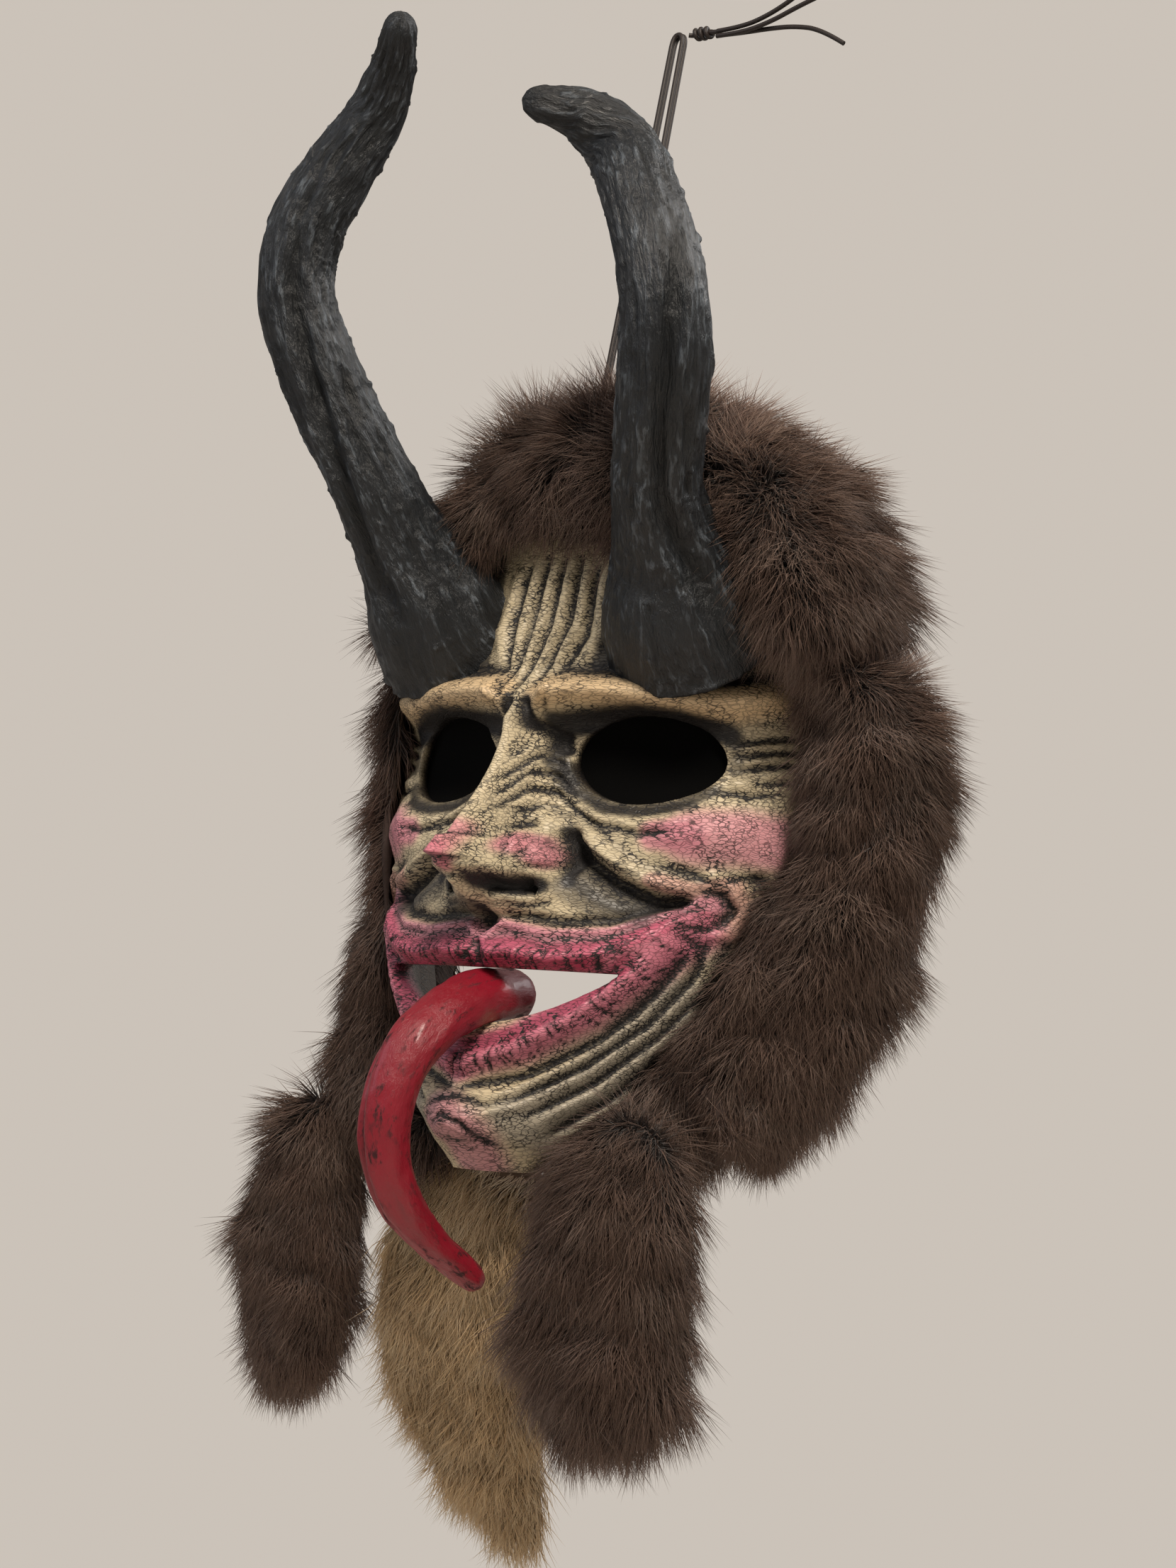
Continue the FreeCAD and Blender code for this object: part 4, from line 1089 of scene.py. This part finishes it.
@dataclass
class Horn(Limb):
    """A bark-grained horn with one deep groove up its length and rough burrs on it."""

    groove_turn: float = -1.3
    seed: float = 0.0

    def form(self, turn: np.ndarray, run: np.ndarray, size: np.ndarray) -> np.ndarray:
        """Grain, groove, burrs and uneven swelling of the horn."""
        length = float(run.max())
        shape = np.broadcast(turn, run).shape
        grain = np.zeros(shape)
        rough = np.zeros(shape)
        radius = 15.0
        for i in range(shape[0]):
            for j in range(shape[1]):
                c, s = math.cos(turn[0, j]), math.sin(turn[0, j])
                r = float(run[i, 0])
                bark = Vector((c * radius / 3.0, s * radius / 3.0, r / 26.0 + self.seed))
                fine = Vector((c * radius / 1.5, s * radius / 1.5, r / 9.0 - self.seed))
                knob = Vector((c * radius / 2.4, s * radius / 2.4, r / 3.2 + self.seed))
                grain[i, j] = 0.75 - 1.9 * abs(noise.noise(bark)) + 0.45 * noise.noise(fine)
                rough[i, j] = max(noise.noise(knob) - 0.28, 0.0)
        sway = 0.35 * np.sin(run / 34.0 + self.seed)
        away = np.angle(np.exp(1j * (turn - self.groove_turn - sway)))
        window = soft_step(run, 8.0, 40.0) * soft_step(run, length * 0.78, length * 0.45)
        groove = -3.6 * bell(away, 0.17) * window + 1.3 * bell(np.abs(away) - 0.38, 0.16) * window
        wrist = 0.9 * np.sin(run / 17.0 + 2.0 * turn) * 0.5
        tip = soft_step(length - run, 0.0, 22.0)
        return (1.5 * grain + 2.2 * rough + wrist) * (0.35 + 0.65 * tip) + groove


@dataclass
class Tongue(Limb):
    """The long tongue: a round body with a lobe and a furrow along its upper left side."""

    def form(self, turn: np.ndarray, run: np.ndarray, size: np.ndarray) -> np.ndarray:
        """Furrow, lobe, soft lumps and a sunken root end of the tongue, which the lacquer paints dark as
        shade inside the mouth.
        """
        length = float(run.max())
        window = soft_step(run, 2.0, 22.0) * soft_step(run, length * 0.97, length * 0.70)
        away = np.angle(np.exp(1j * (turn - 2.15 - 0.25 * np.sin(run / 40.0))))
        furrow = -4.4 * bell(away, 0.20) * window + 1.1 * bell(away + 0.55, 0.35) * window
        furrow = furrow + 1.2 * bell(away - 0.5, 0.30) * window
        under = -1.0 * bell(np.angle(np.exp(1j * (turn + 1.2))), 0.5) * window
        lumps = np.zeros(np.broadcast(turn, run).shape)
        for i in range(lumps.shape[0]):
            for j in range(lumps.shape[1]):
                c, s = math.cos(turn[0, j]), math.sin(turn[0, j])
                place = Vector((c * 1.6, s * 1.6, float(run[i, 0]) / 15.0))
                lumps[i, j] = 0.8 * noise.noise(place) + 0.35 * noise.noise(place * 3.1)
        # The root end sinks 2.6 mm, and the lacquer paints this low place dark as painted shade inside the
        # mouth.
        root = -2.6 * soft_step(run, 11.0, 3.0)
        return furrow + under + lumps + root


# ---------------------------------------------------------------- fur


@dataclass
class Pelt:
    """A fur piece: its hide, and batches of hair that grow on it."""

    name: str
    node: str
    body: str
    hair: bpy.types.Material
    hide: bpy.types.Material
    slot: Slot
    face: FaceShell
    hair_mm: float = 25.0
    inset_mm: float = 6.0
    batches: int = 1
    strands: int = 19000
    lift: float = 0.50
    droop: float = 0.50
    unrest: float = 0.55
    outwards: float = 0.0
    thickness_mm: float = 0.30
    flesh_side: float = 0.62
    seed: int = 1
    voxel_mm: float = 5.0
    centre: Row = (-4.0, -315.0)
    clear_mm: float = 9.0
    least_lift: float = 0.32
    bend: float = 0.34
    stray: float = 0.34

    def rough_form(self) -> bmesh.types.BMesh:
        """The form that the hide is made from: the CAD solid."""
        bm = bmesh.new()
        bm.from_mesh(bpy.data.objects[self.node].data)
        bmesh.ops.remove_doubles(bm, verts=bm.verts, dist=0.01 * MM)
        return bm

    def hide_mesh(self) -> bpy.types.Object:
        """The pelt's skin: its form, drawn in by part of the hair's length."""
        rough = mesh_object(self.name + "_rough", self.rough_form(), [])
        remesh = rough.modifiers.new("even", "REMESH")
        remesh.mode = "VOXEL"
        remesh.voxel_size = self.voxel_mm * MM
        even = bpy.data.meshes.new_from_object(rough.evaluated_get(bpy.context.evaluated_depsgraph_get()))
        bpy.data.objects.remove(rough)
        bm = bmesh.new()
        bm.from_mesh(even)
        bpy.data.meshes.remove(even)
        steps = 5
        for _ in range(steps):
            bm.normal_update()
            moves = [v.co - v.normal * (self.inset_mm * MM / steps) for v in bm.verts]
            for v, place in zip(bm.verts, moves):
                v.co = place
            bmesh.ops.smooth_vert(
                bm, verts=bm.verts, factor=0.4, use_axis_x=True, use_axis_y=True, use_axis_z=True
            )
        face_outwards(bm)
        return mesh_object(self.name + "_hide", bm, [self.hide])

    def comb(self, hide: bpy.types.Object) -> None:
        """Stores which way the hair lies at each place, how long it is and where it grows."""
        mesh = hide.data
        count = len(mesh.vertices)
        place, normal = np.zeros(count * 3), np.zeros(count * 3)
        mesh.vertices.foreach_get("co", place)
        mesh.vertex_normals.foreach_get("vector", normal)
        place, normal = place.reshape(-1, 3) / MM, normal.reshape(-1, 3)
        tufts = np.array([noise.noise_vector(Vector(p) / 13.0 + Vector((self.seed, 0, 0))) for p in place])
        waves = np.array([noise.noise_vector(Vector(p) / 38.0 - Vector((0, self.seed, 0))) for p in place])
        away = place - np.array([self.centre[0], 0.0, self.centre[1]])
        away[:, 1] = 0.0
        away /= np.linalg.norm(away, axis=1)[:, None]
        lie = normal * self.lift + np.array([0, 0, -1.0]) * self.droop + away * self.outwards
        lie += self.unrest * (0.9 * tufts + 0.9 * waves)
        lie += normal * np.clip(self.least_lift - np.sum(lie * normal, axis=1), 0.0, None)[:, None]
        lie[:, 1] = np.minimum(lie[:, 1], -place[:, 1] / 30.0 - 0.2)
        lie /= np.linalg.norm(lie, axis=1)[:, None]
        reach = place + normal * self.clear_mm
        x, t = reach[:, 0], -self.face.drop - reach[:, 2]
        share = np.clip(t / self.face.height, 0, 1)
        on_face = (np.abs(x) < self.face.half_width(share) - 1.0) & (t > 1.0) & (t < self.face.height - 1.0)
        buried = on_face & (-reach[:, 1] < self.face.large_depth(x, np.clip(t, 0, self.face.height)))
        growth = np.where(buried | (normal[:, 1] > self.flesh_side) | (place[:, 1] > 2.0), 0.0, 1.0)
        store(mesh, "growth", "FLOAT", growth)
        store(mesh, "lie", "FLOAT_VECTOR", lie)
        store(mesh, "reach", "FLOAT", 0.92 + 0.38 * tufts[:, 2] + 0.2 * waves[:, 0])
        back = soft_step(place[:, 1], place[:, 1].max() - 22.0, place[:, 1].max() - 12.0)
        store(mesh, "flesh", "FLOAT", back * soft_step(normal[:, 1], 0.45, self.flesh_side))

    def hair_tree(self, batch: int, strands: float, area: float) -> bpy.types.NodeTree:
        """Node tree that grows one batch of hair.

        Args:
            batch: the batch's number, which seeds it.
            strands: how many hairs it has.
            area: area of the hide that grows hair, in square metres.

        Returns:
            The tree.
        """
        tree = bpy.data.node_groups.new(f"{self.name}_growth_{batch}", "GeometryNodeTree")
        tree.interface.new_socket(name="Hide", in_out="INPUT", socket_type="NodeSocketGeometry")
        tree.interface.new_socket(name="Hair", in_out="OUTPUT", socket_type="NodeSocketGeometry")
        seed = self.seed * 10 + batch
        hair = self.hair_mm * MM

        def held(name: str, kind: str) -> bpy.types.NodeSocket:
            """Value that the hide holds under this name."""
            node = add_node(tree, "GeometryNodeInputNamedAttribute", {"Name": name}, data_type=kind)
            return node.outputs[0]

        def worked(how: str, a: Any, b: Any) -> bpy.types.NodeSocket:
            """One step of arithmetic."""
            return add_node(tree, "ShaderNodeMath", {0: a, 1: b}, operation=how).outputs[0]

        def drawn(kind: str, low: Any, high: Any, offset: int) -> bpy.types.NodeSocket:
            """A random value for each hair, between a low and a high one."""
            first = 0 if kind == "FLOAT_VECTOR" else 2
            inputs = {first: low, first + 1: high, "Seed": seed + offset}
            node = add_node(tree, "FunctionNodeRandomValue", inputs, data_type=kind)
            return node.outputs[first // 2]

        def noted(geometry: Any, name: str, value: Any, domain: str) -> bpy.types.NodeSocket:
            """The geometry with a value stored on it for the material."""
            inputs = {"Geometry": geometry, "Name": name, "Value": value}
            kinds = {"data_type": "FLOAT", "domain": domain}
            return add_node(tree, "GeometryNodeStoreNamedAttribute", inputs, **kinds).outputs[0]

        hide = add_node(tree, "NodeGroupInput").outputs[0]
        lie, reach = held("lie", "FLOAT_VECTOR"), held("reach", "FLOAT")
        dense = worked("MULTIPLY", held("growth", "FLOAT"), strands / area)
        inputs = {"Mesh": hide, "Density": dense, "Seed": seed}
        roots = add_node(tree, "GeometryNodeDistributePointsOnFaces", inputs, distribute_method="RANDOM")
        shape = {
            "Vertices": 3,
            "Side Segments": 2,
            "Radius Top": 0.0,
            "Radius Bottom": self.thickness_mm * MM,
            "Depth": hair,
        }
        cone = add_node(tree, "GeometryNodeMeshCone", shape)
        place = add_node(tree, "GeometryNodeInputPosition").outputs[0]
        parts = add_node(tree, "ShaderNodeSeparateXYZ", {0: place})
        along = worked("MULTIPLY", parts.outputs["Z"], 1 / hair)
        bend = worked("MULTIPLY", worked("POWER", along, 2.0), self.bend * hair)
        offset = add_node(tree, "ShaderNodeCombineXYZ", {"X": bend}).outputs[0]
        marked = noted(cone.outputs["Mesh"], "along", along, "POINT")
        bent = add_node(tree, "GeometryNodeSetPosition", {"Geometry": marked, "Offset": offset}).outputs[0]
        jitter = drawn("FLOAT_VECTOR", (-self.stray,) * 3, (self.stray,) * 3, 500)
        heading = add_node(tree, "ShaderNodeVectorMath", {0: lie, 1: jitter}, operation="ADD").outputs[0]
        upright = add_node(tree, "FunctionNodeAlignRotationToVector", {"Vector": heading}, axis="Z")
        fall = add_node(
            tree,
            "ShaderNodeVectorMath",
            {0: jitter, 1: (1.6, 1.6, 1.6), 2: (0.0, 0.0, -1.0)},
            operation="MULTIPLY_ADD",
        ).outputs[0]
        turned = add_node(
            tree,
            "FunctionNodeAlignRotationToVector",
            {"Rotation": upright.outputs[0], "Vector": fall},
            axis="X",
            pivot_axis="Z",
        ).outputs[0]
        size = worked("MULTIPLY", reach, drawn("FLOAT", 0.70, 1.14, 900))
        inputs = {"Points": roots.outputs["Points"], "Instance": bent, "Rotation": turned, "Scale": size}
        hairs = add_node(tree, "GeometryNodeInstanceOnPoints", inputs).outputs[0]
        toned = noted(hairs, "tone", drawn("FLOAT", 0.0, 1.0, 1300), "INSTANCE")
        real = add_node(tree, "GeometryNodeRealizeInstances", {"Geometry": toned}).outputs[0]
        painted = add_node(tree, "GeometryNodeSetMaterial", {"Geometry": real, "Material": self.hair})
        add_node(tree, "NodeGroupOutput", {0: painted.outputs[0]})
        return tree

    def build(self) -> None:
        """Makes the hide and grows its hair."""
        hide = self.hide_mesh()
        self.comb(hide)
        growth = [v.value for v in hide.data.attributes["growth"].data]
        area = sum(
            p.area * sum(growth[k] for k in p.vertices) / len(p.vertices) for p in hide.data.polygons
        )
        for batch in range(self.batches):
            carrier = linked(f"{self.name}_carrier", hide.data.copy(), [])
            grow = carrier.modifiers.new("growth", "NODES")
            grow.node_group = self.hair_tree(batch, self.strands, max(area, 1e-5))
            grown = bpy.data.meshes.new_from_object(
                carrier.evaluated_get(bpy.context.evaluated_depsgraph_get())
            )
            bpy.data.objects.remove(carrier)
            grown.name = f"{self.name}_hair_{batch + 1}"
            settle(linked(grown.name, grown, [self.hair]), self.body)
        settle(hide, self.body, [self.node] if self.node else [])


@dataclass
class JawRoll(Pelt):
    """A roll of fur sewn along the jaw, between the fur beside the face and the hanging flaps."""

    rows: tuple[Row, ...] = ()

    def rough_form(self) -> bmesh.types.BMesh:
        """A row of overlapping balls along the roll's middle line."""
        bm = bmesh.new()
        for x, depth, z, thickness in eased_path(self.rows, 26):
            place = Matrix.Translation(Vector((x, -depth, z)) * MM)
            bmesh.ops.create_icosphere(bm, subdivisions=3, radius=thickness / 2 * MM, matrix=place)
        return bm


# ---------------------------------------------------------------- cord


@dataclass
class HangingCord:
    """The doubled cord over the nail, its knot and its three loose tails."""

    wax: bpy.types.Material
    diameter: float = 2.0
    loop_length: float = 411.5

    def strand(self, name: str, points: Sequence[Row], node: str) -> bpy.types.Object:
        """One run of cord on a smooth curve.

        Args:
            name: the piece's name.
            points: its route, in millimetres.
            node: the CAD node that it stands for.

        Returns:
            The finished piece.
        """
        curve = bpy.data.curves.new(name, "CURVE")
        curve.dimensions = "3D"
        curve.bevel_depth = self.diameter / 2 * MM
        curve.bevel_resolution = 5
        curve.resolution_u = 16
        curve.use_fill_caps = True
        spline = curve.splines.new("NURBS")
        spline.points.add(len(points) - 1)
        for point, place in zip(spline.points, points):
            point.co = (*(v * MM for v in place), 1.0)
        spline.order_u = 3
        spline.use_endpoint_u = True
        return settle(linked(name, curve, [self.wax]), "root", [node])

    def loop(self, name: str, y: float, node: str) -> None:
        """One loop: out of the shell, over the nail and back."""
        low = -42.0 + y
        points = [
            (-0.3, low, -195.0), (-4.0, low, -195.0), (-3.97, low + 0.77, -191.38), (-2.68, y - 2.5, -9.14),
            (-2.6, y, 2.6), (2.6, y, 2.6),
            (2.68, y - 2.5, -9.14), (3.97, low + 0.77, -191.38), (4.0, low, -195.0), (0.3, low, -195.0),
        ]
        piece = self.strand(name, points, node)

    def tail(self, name: str, rows: Sequence[Row], node: str) -> None:
        """One loose end beyond the knot."""
        start = (22.0, -4.4, 0.2)
        points = [tuple(a + b for a, b in zip(start, row)) for row in rows]
        piece = self.strand(name, points, node)

    def knot(self) -> None:
        """The overhand knot: turns of cord wound tightly round the bundle."""
        points = [(6.5, -3.0, 0.9)]
        turns, steps = 3.0, 7
        for k in range(int(turns * steps) + 1):
            turn = 2 * math.pi * k / steps
            share = k / (turns * steps)
            swell = 1.95 + 0.35 * math.sin(math.pi * share)
            points.append((9.5 + 8.2 * share, -3.0 + swell * math.cos(turn), 0.6 + swell * math.sin(turn)))
        points += [(19.0, -3.6, 0.8), (14.0, -3.2, 0.6), (22.5, -4.2, 0.0)]
        self.strand("cord_knot_turns", points, "cord_knot")

    def build(self) -> None:
        """Makes all of the cord."""
        self.loop("hanging_loop_front", -1.15, "cord_loop_front")
        self.loop("hanging_loop_back", 1.15, "cord_loop_back")
        self.tail(
            "loose_tail_long",
            [(0, 0, 0), (13, -1.2, -0.4), (26, -2.0, 2.4), (39, -3.0, 7.6), (51, -4.2, 14.6),
             (61, -5.6, 23.0)],
            "cord_tail_long",
        )
        self.tail(
            "loose_tail_middle",
            [(0, -0.4, -2.3), (13, -1.4, -2.9), (27, -1.6, -0.4), (41, -2.2, 4.2), (55, -3.0, 7.8),
             (69, -4.0, 13.6)],
            "cord_tail_middle",
        )
        self.tail(
            "loose_tail_short",
            [(0, 2.2, -1.2), (12, 1.4, -2.0), (24, 0.8, -2.2), (37, 1.2, -2.7), (50, 1.8, -5.6),
             (61, 2.4, -13.0)],
            "cord_tail_short",
        )
        self.knot()


# ---------------------------------------------------------------- the whole mask

HORN_ROOTS = ((-60.0, 54.0, -268.0), (60.0, 54.0, -268.0))
LEFT_HORN = (
    (-4, 0, 0, 70), (-2, 15, 13, 60), (2, 28, 32, 46), (9, 49, 62, 35), (23, 65, 98, 33), (33, 75, 132, 32),
    (30, 77, 160, 31), (18, 74, 184, 28), (3, 71, 206, 23), (-10, 77, 222, 18), (-20, 86, 234, 14),
    (-25, 91, 240, 13),
)
RIGHT_HORN = (
    (0, 0, 0, 72), (2, 14, 12, 62), (5, 27, 30, 47), (11, 48, 52, 36), (22, 65, 76, 34), (29, 75, 102, 34),
    (26, 77, 129, 33), (14, 74, 158, 30), (-1, 70, 181, 26), (-13, 78, 192, 21), (-24, 89, 195, 15),
    (-30, 95, 196, 13),
)
TONGUE = (
    (4, 72, -11, 22.5), (3, 84, -11, 24.0), (1, 110, -15, 24.0), (-2, 133, -29, 22.8), (-5, 144, -49, 21.1),
    (-6, 145, -70, 19.6), (-4, 137, -90, 17.7), (0, 121, -106, 15.1), (6, 104, -119, 12.0),
    (9, 98, -123, 11.6),
)

RIGHT_JAW = (
    (103, 26, -378, 44), (97, 30, -400, 46), (84, 38, -424, 44), (71, 46, -444, 40), (58, 56, -460, 38),
    (44, 63, -472, 34), (26, 68, -484, 26),
)
LEFT_JAW = (
    (-98, 32, -392, 34), (-92, 38, -414, 36), (-88, 46, -436, 36), (-86, 52, -452, 34), (-70, 56, -462, 28),
    (-50, 62, -472, 24),
)


def horn_rows(side: int) -> tuple[Row, ...]:
    """Middle line of a horn in the part's frame: side is -1 or 1."""
    x, depth, z = HORN_ROOTS[(side + 1) // 2]
    rows = RIGHT_HORN if side > 0 else LEFT_HORN
    return tuple((x + side * out, depth + forward, z + up, thick) for out, forward, up, thick in rows)


def main() -> None:
    """Builds the mask's looks round the CAD frame."""
    logging.basicConfig(level=logging.INFO, format="%(name)s %(message)s")
    noise.seed_set(11)
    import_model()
    studio = Studio()
    studio.camera()
    HangingCord(PlainStuff("waxed_cotton_cord", 0.55, "17110F", "2E2420", 0.5, 0.15).build()).build()
    studio.build(PlainStuff("matt_plaster_floor", 0.8, "D6CEC4", "DAD3CA", 5.0, 0.2).build())

    face = FaceShell(AntiquedPaint("antiqued_acrylic_on_resin", 0.42).build())
    face.build()
    bark = DryBrushed("dry_brushed_resin", 0.40).build()
    Horn("left_horn_bark", "left_horn", horn_rows(-1), 250, 80, bark, Slot.HORN, seed=3.0).build()
    Horn(
        "right_horn_bark", "right_horn", horn_rows(1), 230, 80, bark, Slot.HORN, groove_turn=-0.75, seed=8.0
    ).build()
    mouth_z = -face.drop - face.height * 0.731
    tongue_rows = tuple((x, depth, mouth_z + up, thick) for x, depth, up, thick in TONGUE)
    varnish = Lacquer("gloss_varnished_crimson", 0.34).build()
    Tongue(
        "tongue_body", "tongue", tongue_rows, 150, 56, varnish, Slot.TONGUE, rounded_root=True
    ).build()

    brown = RabbitHair("dressed_rabbit_hair_brown", 0.62).build()
    tan = RabbitHair(
        "dressed_rabbit_hair_tan", 0.6, "8A6F52", "CBAE86", "EAD6B2", "F0E2C6", 0.6
    ).build()
    dark_hide = Hide("tanned_rabbit_hide", 0.9).build()
    pale_hide = Hide("tanned_rabbit_hide_pale", 0.9, "6E573F").build()
    brown_fur = {"hair": brown, "hide": dark_hide, "slot": Slot.BROWN, "face": face}
    tan_fur = {"hair": tan, "hide": pale_hide, "slot": Slot.TAN, "face": face}
    roll = {**brown_fur, "inset_mm": 2.0, "droop": 0.6, "flesh_side": 2.0, "voxel_mm": 4.0}
    pelts = (
        Pelt("crown", "crown_pelt", "root", **brown_fur, batches=2, outwards=0.25, seed=1),
        Pelt("right_cheek", "right_cheek_pelt", "root", **brown_fur, batches=2, hair_mm=21.0, inset_mm=11.0,
             outwards=0.1, seed=2),
        Pelt("left_cheek", "left_cheek_pelt", "root", **brown_fur, outwards=0.2, seed=3),
        Pelt("left_lappet_fur", "left_lappet", "left_lappet", **brown_fur, droop=0.6, hair_mm=21.0,
             inset_mm=7.0, seed=4),
        Pelt("right_lappet_fur", "right_lappet", "right_lappet", **brown_fur, droop=0.6, seed=5),
        Pelt("beard_fur", "beard_pelt", "beard", **tan_fur, hair_mm=22.0, inset_mm=5.0, lift=0.38,
             droop=0.95, unrest=0.35, seed=6, voxel_mm=4.0),
        JawRoll("right_jaw", "", "root", **roll, hair_mm=22.0, strands=17000, seed=7, rows=RIGHT_JAW),
        JawRoll("left_jaw", "", "root", **roll, hair_mm=20.0, strands=12000, seed=8, rows=LEFT_JAW),
    )
    for pelt in pelts:
        pelt.build()

    cloth = PlainStuff("black_mesh_cloth", 0.95, "010101", "040404", 0.7, 0.2, shine=0.1).build()
    steel = PlainStuff("zinc_plated_steel", 0.34, "A9ABAD", "C3C5C7", 1.5, 0.03, 1.0).build()
    for node, stuff in (
        ("left_eye_screen", cloth), ("right_eye_screen", cloth), ("horn_screws", steel),
        ("horn_washers", steel), ("tongue_screw", steel), ("tongue_washer", steel),
    ):
        piece = bpy.data.objects[node]
        piece.data.materials.clear()
        piece.data.materials.append(stuff)


if __name__ == "__main__":
    main()
